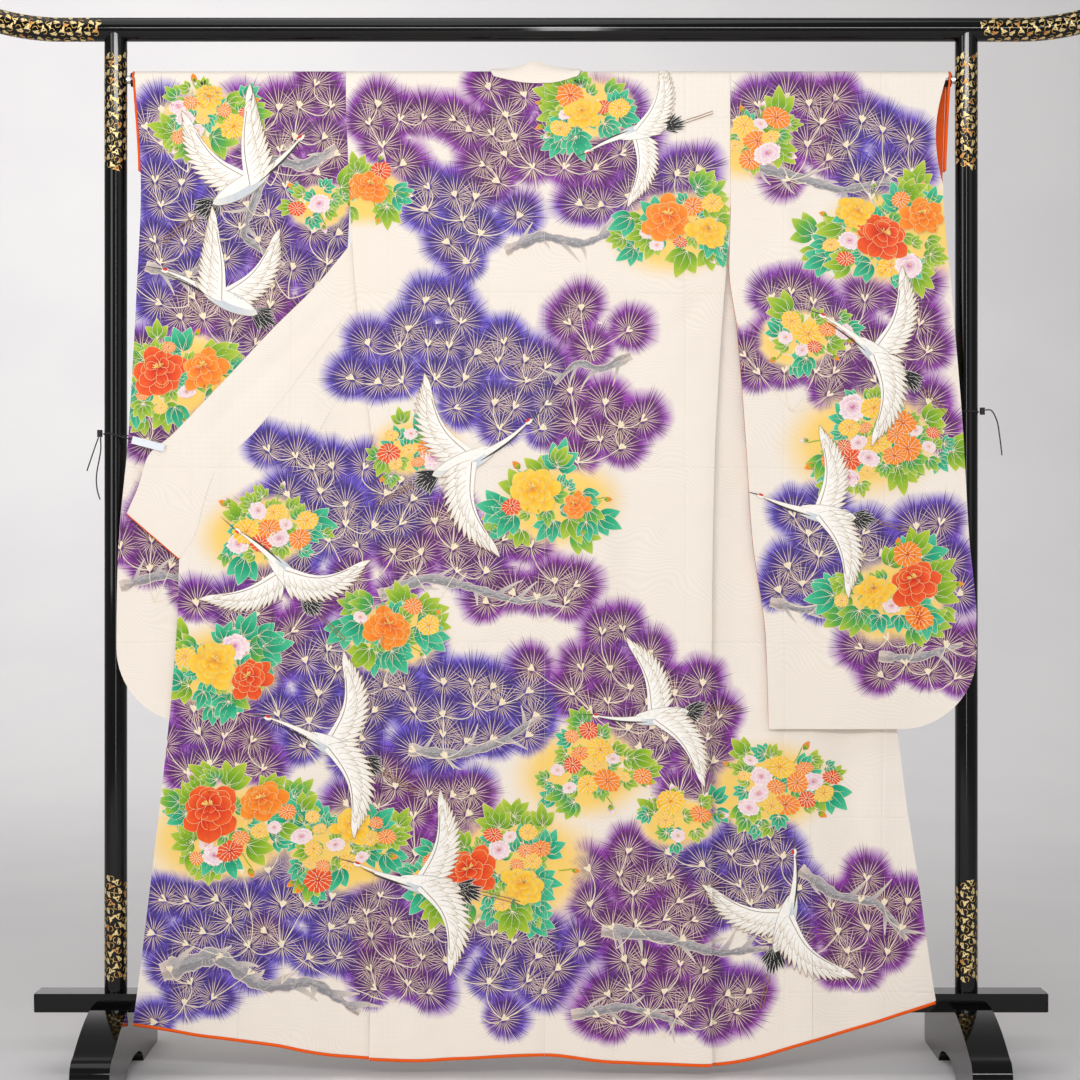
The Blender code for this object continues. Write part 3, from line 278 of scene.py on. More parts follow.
def monotone(knots: Array, values: Array, where: Array | float) -> Array:
    """A smooth curve through a table's points that never swings past them, held constant past its ends.

    Args:
        knots: The table's places, rising.
        values: Its value at each.
        where: The places to read.

    Returns:
        The values there.
    """
    x, y = (knots[::-1], values[::-1]) if knots[0] > knots[-1] else (knots, values)
    step = np.diff(x)
    slope = np.diff(y) / step
    tangent = np.zeros_like(y)
    tangent[0], tangent[-1] = slope[0], slope[-1]
    before = 2.0 * step[1:] + step[:-1]
    after = step[1:] + 2.0 * step[:-1]
    same = slope[:-1] * slope[1:] > 0.0
    safe_a = np.where(same, slope[:-1], 1.0)
    safe_b = np.where(same, slope[1:], 1.0)
    tangent[1:-1] = np.where(same, (before + after) / (before / safe_a + after / safe_b), 0.0)
    at = np.clip(np.asarray(where, dtype=float), x[0], x[-1])
    i = np.clip(np.searchsorted(x, at) - 1, 0, len(step) - 1)
    t = (at - x[i]) / step[i]
    start = (1.0 + 2.0 * t) * (1.0 - t) ** 2 * y[i] + t * (1.0 - t) ** 2 * step[i] * tangent[i]
    return start + t * t * (3.0 - 2.0 * t) * y[i + 1] + t * t * (t - 1.0) * step[i] * tangent[i + 1]


def read(table: dict[str, Array], name: str, where: Array | float, key: str = "z") -> Array:
    """Read one named column of a table as a smooth function of its key column."""
    return monotone(table[key], table[name], where)


def smoothstep(low: float, high: float, value: Array) -> Array:
    """Rise smoothly from 0 at low to 1 at high."""
    t = np.clip((value - low) / (high - low), 0.0, 1.0)
    return t * t * (3.0 - 2.0 * t)


def spaced(start: float, end: float, cell: float = CELL) -> Array:
    """Evenly spaced numbers from start to end, about a cell apart."""
    return np.linspace(start, end, max(2, round(abs(end - start) / cell) + 1))


def creased(table: dict[str, Array], x: Array, z: Array) -> Array:
    """How far the troughs and ridges of a crease table move each point towards the viewer.

    Args:
        table: The creases.
        x: Places across the cloth.
        z: Their heights.

    Returns:
        How far each point moves.
    """
    total = np.zeros_like(x)
    for x0, z0, x1, z1, width, height in zip(*table.values()):
        along = np.array([x1 - x0, z1 - z0])
        length = np.hypot(*along)
        along /= length
        t = ((x - x0) * along[0] + (z - z0) * along[1]) / length
        off = (x - x0) * along[1] - (z - z0) * along[0]
        off = off + 0.10 * width * np.sin(t * 17.0 + x0 * 40.0)
        fade = np.clip(4.0 * t, 0.0, 1.0) * np.clip(4.0 * (1.0 - t), 0.0, 1.0)
        total += height * fade * fade * (3.0 - 2.0 * fade) * np.exp(-((off / width) ** 2))
    return total


def wave(x: Array, z: Array) -> Array:
    """Soft upright folds and creases that all layers of the body share, so they stay apart.

    Args:
        x: Places across the cloth.
        z: Their heights.

    Returns:
        How far each point moves.
    """
    folds = 0.0016 * np.sin(2.0 * math.pi * x / 0.165 + 0.9 + 1.1 * z)
    folds = folds + 0.0010 * np.sin(2.0 * math.pi * x / 0.093 - 0.7 - 0.8 * z)
    fine = 0.00025 * np.sin(x * 97.0 + 3.0 * np.sin(z * 9.0)) * np.sin(z * 61.0 + 2.0 * np.sin(x * 13.0))
    near_rod = 1.0 - smoothstep(1.60, 1.65, z)
    return (1.0 - smoothstep(1.05, 1.45, z)) * folds + (fine - creased(BODY_CREASES, x, z)) * near_rod


def layer_depth(layer: str, x: Array, z: Array) -> Array:
    """How far back a layer of the body lies, from its table, with the shared folds."""
    return read(DEPTHS, layer, z) + wave(x, z)


def open_depth(side: Side, x: Array, z: Array) -> Array:
    """How far back the opened front lies: it drifts towards its tied edge as it runs out to the side."""
    out = np.clip((side.value * x - REACH_START_X) / (REACH_END_X - REACH_START_X), 0.0, 1.2)
    return read(DEPTHS, "open_front", z) * (1.0 - out) + read(REACHES, side.word, z) * out + wave(x, z)


def hem_lift(x: Array, z: Array) -> Array:
    """How much the hem's own line lifts a row of the cloth."""
    return read(HEM, "z", x, "x") * np.clip(1.0 - z / HEM_BLEND_Z, 0.0, 1.0) ** 2


def row_of(x: Array, z: Array) -> Array:
    """The row height whose lifted place is (x, z): the inverse of hem_lift, from its square.

    Args:
        x: Places across the cloth.
        z: Their lifted heights.

    Returns:
        The rows' heights.
    """
    hem = read(HEM, "z", x, "x")
    k = 1.0 / HEM_BLEND_Z
    a = hem * k * k
    b = 1.0 - 2.0 * hem * k
    row = (-b + np.sqrt(np.maximum(b * b - 4.0 * a * (hem - z), 0.0))) / (2.0 * a)
    return np.where(z > HEM_BLEND_Z, z, np.maximum(row, -0.01))


def sleeve_outer(side: Side, near: bool, z: Array) -> Array:
    """A sleeve's outer edge, with its round bottom corner and, on the right, the cuff's pulled-in rim.

    Args:
        side: The side it is on.
        near: Whether it is the layer nearer the viewer.
        z: The heights to read.

    Returns:
        The edge's distance from the middle.
    """
    corner_z = SLEEVE_BOTTOM[side] + CORNER_RADIUS
    corner_x = float(read(SLEEVE_EDGE[side], "x", corner_z)) - CORNER_RADIUS
    drop = np.clip(corner_z - z, 0.0, CORNER_RADIUS)
    corner = corner_x + np.sqrt(CORNER_RADIUS**2 - drop**2)
    outer = np.where(z < corner_z, corner, read(SLEEVE_EDGE[side], "x", z))
    if side is Side.RIGHT and near:
        pull = np.sin(np.pi * np.clip((SLEEVE_TOP_Z - z) / (SLEEVE_TOP_Z - CUFF_END_Z), 0.0, 1.0))
        outer = outer - RIGHT_CUFF_PULL * pull
    return outer


def sleeve_inner(side: Side, z: Array) -> Array:
    """A sleeve's edge towards the body: sewn to it at the shoulder, free below."""
    return np.where(z >= ATTACH_Z, read(BODY[side], "side", z) + SEAM / 2, read(SLEEVE[side], "inner_x", z))


def sleeve_depth(side: Side, near: bool, x: Array, z: Array) -> Array:
    """How far back the near or the far layer of a sleeve lies below the rod.

    Args:
        side: The side it is on.
        near: Whether it is the layer nearer the viewer.
        x: Places across the cloth.
        z: Their heights.

    Returns:
        How far back each point lies.
    """
    table = SLEEVE[side]
    inner, outer = sleeve_inner(side, z), sleeve_outer(side, near, z)
    part = (side.value * x - inner) / np.maximum(outer - inner, 1e-6)
    y = read(table, "inner_y", z) * (1.0 - part) + read(table, "outer_y", z) * part
    y = y + 0.0015 * np.sin(2.0 * np.pi * side.value * x / 0.21 + 1.3) * (1.0 - smoothstep(1.0, 1.4, z))
    y = y - creased(SLEEVE_CREASES, x, z) * (1.0 - smoothstep(1.60, 1.65, z))
    y = y + 0.00025 * np.sin(x * 83.0 + 2.0 * np.sin(z * 11.0)) * np.sin(z * 57.0 + x * 9.0) * (z < 1.62)
    if near:
        return y
    swell = 1.0 - np.exp(-np.maximum(z - SLEEVE_BOTTOM[side], 0.0) / 0.02)
    sewn = 1.0 - smoothstep(CUFF_END_Z - 0.06, CUFF_END_Z, z)
    swell = swell * (1.0 - sewn * np.exp(-(outer - side.value * x) / 0.02))
    shut = LAYER_GAP + SLEEVE_SEAM
    return y + shut + (read(table, "gap", z) - shut) * swell


def over_rod(angle: Array, facing: float) -> tuple[Array, Array]:
    """The middle of the cloth at an angle from the top of the rod, in radians: its y and z."""
    turn = np.maximum(angle, FOLD_SEAM / FOLD_RADIUS)
    return facing * FOLD_RADIUS * np.sin(turn), ROD_Z + FOLD_RADIUS * np.cos(turn)


# Materials


def rgb(red: float, green: float, blue: float) -> Colour:
    """A linear colour from its 0 to 255 display values."""
    return tuple(((v / 255.0 + 0.055) / 1.055) ** 2.4 if v > 10 else v / 3294.6 for v in (red, green, blue))


class Graph:
    """A short hand for building shader node trees."""

    def __init__(self, tree: bpy.types.NodeTree) -> None:
        """Keep the tree to build in."""
        self.tree = tree

    def node(self, kind: str, feeds: dict | Sequence = (), **values: object) -> bpy.types.Node:
        """Add a node with its properties and inputs.

        Args:
            kind: The node's type, without its prefix.
            feeds: What its inputs get: by name, or in order.
            values: Its properties.

        Returns:
            The node.
        """
        made = self.tree.nodes.new(kind if kind.startswith("NodeGroup") else f"ShaderNode{kind}")
        for name, value in values.items():
            setattr(made, name, value)
        named = feeds.items() if isinstance(feeds, dict) else enumerate(feeds)
        for key, value in named:
            self.feed(made.inputs[key], value)
        return made

    def feed(self, socket: Socket, value: Value) -> None:
        """Link an output into a socket, or set the socket to a plain value."""
        if isinstance(value, bpy.types.NodeSocket):
            self.tree.links.new(value, socket)
        elif value is not None:
            socket.default_value = (*value, 1.0) if socket.type == "RGBA" and len(value) == 3 else value

    def shade(self, **values: Value) -> None:
        """Feed the Principled shader; an underscore in a keyword stands for a space."""
        for name, value in values.items():
            self.feed(self.tree.nodes["Principled BSDF"].inputs[name.replace("_", " ")], value)

    def math(self, operation: str, *values: Value, clamp: bool = False) -> Socket:
        """One Math node; returns its output."""
        return self.node("Math", values, operation=operation, use_clamp=clamp).outputs[0]

    def mix(self, factor: Value, a: Value, b: Value, blend: str = "MIX") -> Socket:
        """Mix two colours; returns the output."""
        feeds = {"Factor": factor, 6: a, 7: b}
        return self.node("Mix", feeds, data_type="RGBA", blend_type=blend, clamp_factor=True).outputs[2]

    def ramp(
        self, value: Value, low: Value, high: Value, to_low: float = 0.0, to_high: float = 1.0,
        smooth: bool = True,
    ) -> Socket:
        """Map a value from one range to another; returns the output."""
        kind = "SMOOTHSTEP" if smooth else "LINEAR"
        return self.node("MapRange", (value, low, high, to_low, to_high), interpolation_type=kind).outputs[0]

    def noise(self, vector: Socket, scale: float, detail: float = 2.0) -> Socket:
        """A noise texture; returns its value output."""
        return self.node("TexNoise", {"Vector": vector, "Scale": scale, "Detail": detail}).outputs[0]

    def attribute(self, name: str) -> bpy.types.Node:
        """Read a mesh attribute; returns the node."""
        return self.node("Attribute", attribute_name=name, attribute_type="GEOMETRY")

    def parts(self, vector: Socket) -> Sequence[Socket]:
        """Split a vector; returns its three outputs."""
        return self.node("SeparateXYZ", (vector,)).outputs

    def bump(self, height: Value, distance: float, strength: float = 1.0, normal: Value = None) -> Socket:
        """A bump node; returns its normal output."""
        feeds = {"Height": height, "Distance": distance, "Strength": strength, "Normal": normal}
        return self.node("Bump", feeds).outputs[0]

    def stripes(self, vector: Socket, scale: float) -> Socket:
        """Slanting bands; returns their value output."""
        feeds = {"Vector": vector, "Scale": scale}
        return self.node("TexWave", feeds, wave_type="BANDS", bands_direction="DIAGONAL").outputs[1]


def new_group(name: str, source: str, results: Sequence[str]) -> tuple:
    """Start a node group from one vector to values; returns it, its Graph, the vector and its outputs.

    Args:
        name: The group's name.
        source: The name of its vector.
        results: The names of its outputs.

    Returns:
        The group, its Graph, the vector and the group output's sockets.
    """
    group = bpy.data.node_groups.new(name, "ShaderNodeTree")
    group.interface.new_socket(source, in_out="INPUT", socket_type="NodeSocketVector")
    for label in results:
        group.interface.new_socket(label, in_out="OUTPUT", socket_type="NodeSocketFloat")
    g = Graph(group)
    return group, g, g.node("NodeGroupInput").outputs[0], g.node("NodeGroupOutput").inputs


@dataclass(frozen=True)
class NeedleRow:
    """One row of pine needles round a tuft."""

    count: int
    length: float
    width: float
    phase: float


LIGHT_NEEDLES = NeedleRow(27, 0.056, 0.00056, 3.7)
DARK_NEEDLES = NeedleRow(27, 0.055, 0.00100, 9.2)
TIP_NEEDLES = NeedleRow(88, 0.072, 0.00105, 5.4)
NEEDLE_SOFTNESS = 0.0004


def tuft_group() -> bpy.types.NodeTree:
    """Build the group that draws one pine tuft from a point's own place beside the tuft's centre.

    Returns:
        A group from (along the stem, across it, seed) to the soft disc, its dark heart, the light needles
        and the dark needles. The needles ahead of the stem are the longest.
    """
    group, g, sprite, out = new_group("pine tuft", "Sprite", ("Core", "Heart", "Light", "Dark"))
    ahead, aside, seed = g.parts(sprite)
    radius = g.math("SQRT", g.math("ADD", g.math("MULTIPLY", ahead, ahead), g.math("MULTIPLY", aside, aside)))
    forward = g.math("DIVIDE", ahead, g.math("MAXIMUM", radius, 0.0001))
    fan = g.math("MULTIPLY_ADD", forward, 0.20, 0.80)
    turn = g.math("DIVIDE", g.math("ARCTAN2", aside, ahead), 2.0 * math.pi)

    def needles(row: NeedleRow) -> Socket:
        """How strongly one row of needles shows at a point, 0 to 1.

        Args:
            row: The row.

        Returns:
            The strength.
        """
        along = g.math("ADD", g.math("MULTIPLY", turn, float(row.count)), row.phase)
        cell = g.math("FLOOR", along)
        offset = g.math("SUBTRACT", g.math("SUBTRACT", along, cell), 0.5)
        key = g.node("CombineXYZ", (cell, g.math("ADD", seed, row.phase))).outputs[0]
        chance = g.node("TexWhiteNoise", {"Vector": key}, noise_dimensions="2D").outputs["Color"]
        place, share = g.node("SeparateColor", (chance,)).outputs[:2]
        shift = g.math("MULTIPLY", g.math("SUBTRACT", place, 0.5), 0.55)
        arc = g.math("MULTIPLY", radius, 2.0 * math.pi / row.count)
        distance = g.math("MULTIPLY", g.math("ABSOLUTE", g.math("SUBTRACT", offset, shift)), arc)
        reach = g.math("MULTIPLY", g.math("MULTIPLY_ADD", share, 0.40 * row.length, 0.60 * row.length), fan)
        taper = g.math("MULTIPLY", g.ramp(radius, reach, g.math("MULTIPLY", reach, 0.45)), row.width)
        taper = g.math("MULTIPLY", taper, g.ramp(radius, 0.0, 0.018, 0.45, 1.0))
        inside = g.math("SUBTRACT", taper, distance)
        line = g.math("MULTIPLY_ADD", inside, 1.0 / NEEDLE_SOFTNESS, 0.4, clamp=True)
        return g.math("MULTIPLY", line, g.math("LESS_THAN", radius, reach))

    open_eye = g.ramp(radius, 0.0045, 0.0085)
    g.feed(out["Light"], g.math("MULTIPLY", needles(LIGHT_NEEDLES), open_eye))
    tips = g.math("MULTIPLY", needles(TIP_NEEDLES), g.ramp(radius, 0.014, 0.030))
    g.feed(out["Dark"], g.math("MAXIMUM", g.math("MULTIPLY", needles(DARK_NEEDLES), open_eye), tips))
    spread = g.math("DIVIDE", radius, fan)
    g.feed(out["Core"], g.ramp(spread, 0.068, 0.028))
    g.feed(out["Heart"], g.ramp(spread, 0.040, 0.010))
    return group


def weave_group() -> bpy.types.NodeTree:
    """Build the group for the silk's woven self pattern: flowing ribs with patches of small blocks.

    Returns:
        A group from the cloth's own (x, z) in metres to a height and a tone, each 0 to 1. The tone rises with
        the height: painted shade where the weave lies low and painted sheen on its raised ribs and blocks,
        with a random mottle.
    """
    group, g, place, out = new_group("woven silk", "Cloth", ("Height", "Tone"))
    across, down, _ = g.parts(place)
    phase = g.math("MULTIPLY_ADD", g.noise(place, 7.0, 1.0), 190.0, g.math("MULTIPLY", down, 1250.0))
    phase = g.math("ADD", phase, g.math("MULTIPLY", across, 420.0))
    ribs = g.math("MULTIPLY_ADD", g.math("SINE", phase), 0.5, 0.5)
    feeds = {"Vector": place, "Scale": 1.0, "Brick Width": 0.0105, "Row Height": 0.0085}
    feeds["Mortar Size"] = 0.0008
    feeds |= {"Color1": (1.0, 1.0, 1.0), "Color2": (0.85, 0.85, 0.85), "Mortar": (0.40, 0.40, 0.40)}
    blocks = g.node("TexBrick", feeds, offset=0.0, squash=1.0).outputs[0]
    patch = g.ramp(g.noise(place, 3.4, 0.0), 0.60, 0.63)
    height = g.node("Mix", {0: patch, 2: ribs, 3: blocks}, data_type="FLOAT").outputs[0]
    g.feed(out["Height"], height)
    # The tone follows the height: painted shade in the weave's hollows and painted sheen on its raised parts,
    # plus a random mottle from the noise.
    tone = g.math("MULTIPLY_ADD", height, 0.55, 0.25)
    g.feed(out["Tone"], g.math("MULTIPLY_ADD", g.noise(place, 5.0, 3.0), 0.8, tone))
    return group


@dataclass(frozen=True)
class SilkFinish:
    """Colours of the ivory silk and of its painted pine clouds."""

    ivory: Colour = rgb(243, 233, 221)
    # shade: the darker ivory, laid where the weave lies low (painted shade) and in random mottles.
    shade: Colour = rgb(238, 226, 212)
    violet: Colour = rgb(108, 84, 206)
    plum: Colour = rgb(158, 60, 180)
    violet_deep: Colour = rgb(46, 20, 96)
    plum_deep: Colour = rgb(70, 8, 74)
    needle: Colour = rgb(238, 212, 188)
    glow: Colour = rgb(250, 205, 78)


@dataclass(frozen=True)
class PlainFinish:
    """A plain finish: its linear colour and its roughness."""

    colour: Colour
    roughness: float


ORANGE = PlainFinish(rgb(240, 92, 6), 0.60)
CREAM = PlainFinish(rgb(240, 226, 205), 0.60)
LACQUER = PlainFinish((0.0010, 0.0009, 0.0009), 0.10)
STEEL = PlainFinish(rgb(200, 200, 204), 0.22)
ELASTIC = PlainFinish((0.010, 0.010, 0.011), 0.7)
PLASTIC = PlainFinish(rgb(226, 232, 238), 0.32)


class Materials:
    """Every material of the scene, each built once."""

    def __init__(self) -> None:
        """Build the shared groups and the materials."""
        self.tuft = tuft_group()
        self.weave = weave_group()
        self.silk = self.painted_silk(SilkFinish())
        self.lining = self.plain_silk("lining", ORANGE)
        self.cream = self.plain_silk("cream_lining", CREAM)
        self.ink = self.inked()
        self.lacquer = self.lacquered(LACQUER)
        self.steel = self.metal(STEEL)
        self.elastic = self.braid(ELASTIC)
        self.plastic = self.moulded(PLASTIC)

    @staticmethod
    def start(name: str, roughness: float, cloth: bool = False) -> tuple:
        """Start a material; returns it, its Graph and its coordinates, the cloth's own or the object's.

        Args:
            name: The material's name.
            roughness: How rough it is.
            cloth: Whether it reads the cloth's own coordinates.

        Returns:
            The three.
        """
        material = bpy.data.materials.new(name)
        material.use_nodes = True
        g = Graph(material.node_tree)
        g.shade(Roughness=roughness)
        place = g.node("UVMap", uv_map="cloth") if cloth else g.node("TexCoord")
        return material, g, place.outputs["UV" if cloth else "Object"]

    def painted_silk(self, finish: SilkFinish) -> bpy.types.Material:
        """Ivory silk with its woven pattern, its pressed folds and the painted clouds of pine.

        Args:
            finish: Its values.

        Returns:
            The material.
        """
        material, g, cloth = self.start("silk", 0.52, cloth=True)
        height, tone = g.node("Group", node_tree=self.weave).outputs[:2]
        g.feed(height.node.inputs[0], cloth)
        # The ivory turns to its darker shade colour where the weave's tone is low: painted shade in the
        # weave's hollows, painted sheen on its ribs, and a random mottle.
        ivory = g.mix(g.ramp(tone, 0.2, 1.4), finish.shade, finish.ivory)
        hue, glow, _ = g.parts(g.attribute("paint").outputs["Vector"])
        tufts = []
        for k in range(3):
            tufts.append(g.node("Group", node_tree=self.tuft))
            g.feed(tufts[k].inputs[0], g.attribute(f"tuft_{k}").outputs["Vector"])
        clear = [g.math("SUBTRACT", 1.0, tuft.outputs["Core"]) for tuft in tufts]
        core = g.math("SUBTRACT", 1.0, g.math("MULTIPLY", g.math("MULTIPLY", clear[0], clear[1]), clear[2]))
        parts = ([tuft.outputs[k] for tuft in tufts] for k in ("Heart", "Light", "Dark"))
        heart, light, dark = (g.math("MAXIMUM", g.math("MAXIMUM", a, b), c) for a, b, c in parts)
        cloud = g.noise(cloth, 30.0, 3.0)
        hue = g.math("MULTIPLY_ADD", g.noise(cloth, 9.0, 1.0), 0.7, g.math("SUBTRACT", hue, 0.35))
        hue = g.ramp(hue, 0.1, 0.9)
        body = g.mix(hue, finish.violet, finish.plum)
        deep = g.mix(hue, finish.violet_deep, finish.plum_deep)
        purple = g.mix(g.math("MULTIPLY", heart, g.ramp(cloud, 0.20, 0.62, 0.35, 0.85)), body, deep)
        edge = g.math("MULTIPLY_ADD", g.math("SUBTRACT", cloud, 0.5), 0.9, glow)
        free = g.math("SUBTRACT", 1.0, g.ramp(edge, 0.20, 0.95))
        ground = g.mix(g.math("MULTIPLY", glow, 0.90), ivory, finish.glow)
        rough = g.math("MULTIPLY_ADD", g.math("SUBTRACT", cloud, 0.5), 0.7, core)
        soft = g.math("MULTIPLY", g.ramp(rough, 0.08, 0.92, smooth=False), g.ramp(core, 0.0, 0.20))
        colour = g.mix(g.math("MULTIPLY", soft, free), ground, purple)
        colour = g.mix(g.math("MULTIPLY", g.math("MULTIPLY", dark, 0.93), free), colour, deep)
        inside = g.math("MULTIPLY", g.math("MULTIPLY", light, g.ramp(core, 0.12, 0.70)), free)
        colour = g.mix(g.math("MULTIPLY", inside, 0.95), colour, finish.needle)
        folds = []
        for axis, spacing in zip(g.parts(cloth), (PRESSED_ACROSS, PRESSED_DOWN)):
            sway = g.math("MULTIPLY_ADD", g.noise(cloth, 4.0, 2.0), 0.012, axis)
            share = g.math("FRACT", g.math("DIVIDE", sway, spacing))
            away = g.math("ABSOLUTE", g.math("SUBTRACT", share, 0.5))
            folds.append(g.ramp(away, 0.0, 0.0032 / spacing))
        pressed = g.bump(g.math("MINIMUM", *folds), 0.0006, 0.6)
        normal = g.bump(g.noise(cloth, 900.0, 1.0), 0.00010, 0.4, g.bump(height, 0.00020, 0.5, pressed))
        g.shade(Base_Color=colour, Roughness=g.ramp(height, 0.0, 1.0, 0.60, 0.44, False), Normal=normal)
        g.shade(Sheen_Weight=0.10, Sheen_Roughness=0.4, Specular_IOR_Level=0.35)
        return material

    def plain_silk(self, name: str, finish: PlainFinish) -> bpy.types.Material:
        """Plain woven silk in one colour, such as the lining.

        Args:
            name: The material's name.
            finish: Its values.

        Returns:
            The material.
        """
        material, g, place = self.start(name, finish.roughness)
        darker = tuple(0.93 * v for v in finish.colour)
        colour = g.mix(g.ramp(g.noise(place, 12.0, 3.0), 0.3, 0.7), darker, finish.colour)
        g.shade(Base_Color=colour, Specular_IOR_Level=0.20)
        g.shade(Normal=g.bump(g.stripes(place, 420.0), 0.00008, 0.5))
        return material

    def inked(self) -> bpy.types.Material:
        """Dyed and gold-lined paint on silk: the colour comes from the shape's own attribute."""
        material, g, place = self.start("ink", 0.48)
        tint = g.attribute("tint").outputs
        tone = g.ramp(g.noise(place, 160.0, 2.0), 0.2, 0.8, 0.90, 1.04, False)
        flat = g.node("CombineColor", (tone, tone, tone)).outputs[0]
        g.shade(Base_Color=g.mix(1.0, tint["Color"], flat, "MULTIPLY"), Specular_IOR_Level=0.3)
        g.shade(Metallic=g.math("MULTIPLY", g.math("SUBTRACT", 1.0, tint["Alpha"]), 0.8))
        g.shade(Normal=g.bump(g.noise(place, 700.0, 1.0), 0.00012, 0.4))
        return material

    def lacquered(self, finish: PlainFinish) -> bpy.types.Material:
        """Gloss black lacquer with the faint waviness of a polished coat.

        Args:
            finish: Its values.

        Returns:
            The material.
        """
        material, g, place = self.start("lacquer", finish.roughness)
        g.shade(Roughness=g.ramp(g.noise(place, 14.0, 4.0), 0.3, 0.8, 0.05, 0.09, False))
        g.shade(Base_Color=finish.colour)
        g.shade(Normal=g.bump(g.noise(place, 22.0, 1.0), 0.0006, 0.10), Specular_IOR_Level=0.36)
        return material

    def metal(self, finish: PlainFinish) -> bpy.types.Material:
        """Turned steel with a fine grain in its roughness.

        Args:
            finish: Its values.

        Returns:
            The material.
        """
        material, g, place = self.start("steel", finish.roughness)
        g.shade(Base_Color=finish.colour, Metallic=1.0)
        g.shade(Roughness=g.ramp(g.noise(place, 900.0, 2.0), 0.2, 0.8, 0.16, 0.32, False))
        return material

    def braid(self, finish: PlainFinish) -> bpy.types.Material:
        """Matt black braided elastic.

        Args:
            finish: Its values.

        Returns:
            The material.
        """
        material, g, place = self.start("elastic", finish.roughness)
        ribs = g.stripes(place, 260.0)
        # The raised ribs are painted lighter: a painted sheen on the braid.
        rib_sheen = tuple(3.0 * v for v in finish.colour)
        g.shade(Base_Color=g.mix(ribs, finish.colour, rib_sheen), Normal=g.bump(ribs, 0.0003, 0.6))
        return material

    def moulded(self, finish: PlainFinish) -> bpy.types.Material:
        """Smooth moulded plastic with a faint grain.

        Args:
            finish: Its values.

        Returns:
            The material.
        """
        material, g, place = self.start("clip_plastic", finish.roughness)
        g.shade(Base_Color=g.mix(g.noise(place, 60.0, 2.0), finish.colour, rgb(236, 240, 244)))
        g.shade(Roughness=g.ramp(g.noise(place, 300.0, 2.0), 0.3, 0.7, 0.26, 0.40, False))
        return material


# Meshes


def add_mesh(
    name: str, points: Array, faces: list | Array, material: Finish, smooth: float | None = None
) -> Piece:
    """Add one mesh object at the origin.

    Args:
        name: The object's name.
        points: Its vertices, shaped (n, 3).
        faces: Its faces as rows of vertex numbers.
        material: Its material.
        smooth: The angle in degrees up to which edges are smooth, or None for all.

    Returns:
        The object, linked to the scene.
    """
    mesh = bpy.data.meshes.new(name)
    mesh.from_pydata(np.asarray(points).tolist(), [], faces if isinstance(faces, list) else faces.tolist())
    mesh.shade_smooth()
    if smooth is not None:
        mesh.set_sharp_from_angle(angle=math.radians(smooth))
    mesh.materials.append(material)
    obj = bpy.data.objects.new(name, mesh)
    bpy.context.collection.objects.link(obj)
    return obj


def settle(obj: Piece, node: str | None = None) -> Piece:
    """Let a piece ride on the body, and stand for its CAD node if it has one.

    Args:
        obj: The piece.
        node: Its CAD node, or None.

    Returns:
        The piece.
    """
    if node:
        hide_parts(node)
    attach(obj, "root")
    return obj


def dress(material: Finish, *nodes: str) -> None:
    """Give CAD nodes that stay as they are their material."""
    for node in nodes:
        frame["nodes"][node].data.materials.clear()
        frame["nodes"][node].data.materials.append(material)


def tube_faces(rings: int, sides: int) -> list[tuple]:
    """The faces between rings of vertices, and the lid on the first ring.

    Args:
        rings: How many rings there are.
        sides: How many vertices each ring has.

    Returns:
        Rows of vertex numbers.
    """
    faces = []
    for i in range(rings - 1):
        for k in range(sides):
            after = (k + 1) % sides
            faces.append((i * sides + k, i * sides + after, (i + 1) * sides + after, (i + 1) * sides + k))
    return [*faces, tuple(range(sides - 1, -1, -1))]


def sweep(name: str, path: Array, radius: float, sides: int, material: Finish) -> Piece:
    """Sweep a round section along a path, closed at both ends.

    Args:
        name: The object's name.
        path: The points along its middle.
        radius: The section's radius.
        sides: How many sides the section has.
        material: Its material.

    Returns:
        The object.
    """
    path = np.asarray(path, float)
    tangent = np.gradient(path, axis=0)
    tangent /= np.linalg.norm(tangent, axis=1, keepdims=True)
    side = np.array(Vector(tangent[0]).orthogonal().normalized())
    angle = np.arange(sides)[:, None] * 2.0 * math.pi / sides
    rings = []
    for point, along in zip(path, tangent):
        side = side - along * side.dot(along)
        side /= np.linalg.norm(side)
        rings.append(point + radius * (np.cos(angle) * side + np.sin(angle) * np.cross(along, side)))
    last = (len(rings) - 1) * sides
    faces = [*tube_faces(len(rings), sides), tuple(range(last, last + sides))]
    return add_mesh(name, np.concatenate(rings), faces, material, 50.0)


def slab(
    name: str, middle: Array, wall: float, material: Finish, smooth: float | None = None
) -> tuple[Piece, Array]:
    """Build a thin closed wall on a grid of points.

    Args:
        name: The object's name.
        middle: The grid, shaped (rows, columns, 3), in the middle of the wall.
        wall: The wall's thickness.
        material: Its material.
        smooth: As for add_mesh.

    Returns:
        The object and its faces: those on the side of the grid's normal, the other side's, then the rim's.
    """
    normal = np.cross(np.gradient(middle, axis=0), np.gradient(middle, axis=1))
    normal *= wall / 2 / np.linalg.norm(normal, axis=2, keepdims=True)
    count = middle.shape[0] * middle.shape[1]
    index = np.arange(count).reshape(middle.shape[:2])
    near = np.stack([index[:-1, :-1], index[1:, :-1], index[1:, 1:], index[:-1, 1:]], 2).reshape(-1, 4)
    ring = np.concatenate([index[:, 0], index[-1, 1:], index[-2::-1, -1], index[0, -2:0:-1]])
    after = np.roll(ring, -1)
    rim = np.stack([after, ring, ring + count, after + count], 1)
    points = np.concatenate([middle + normal, middle - normal]).reshape(-1, 3)
    faces = np.concatenate([near, near[:, [0, 3, 2, 1]] + count, rim])
    return add_mesh(name, points, faces, material, smooth), faces


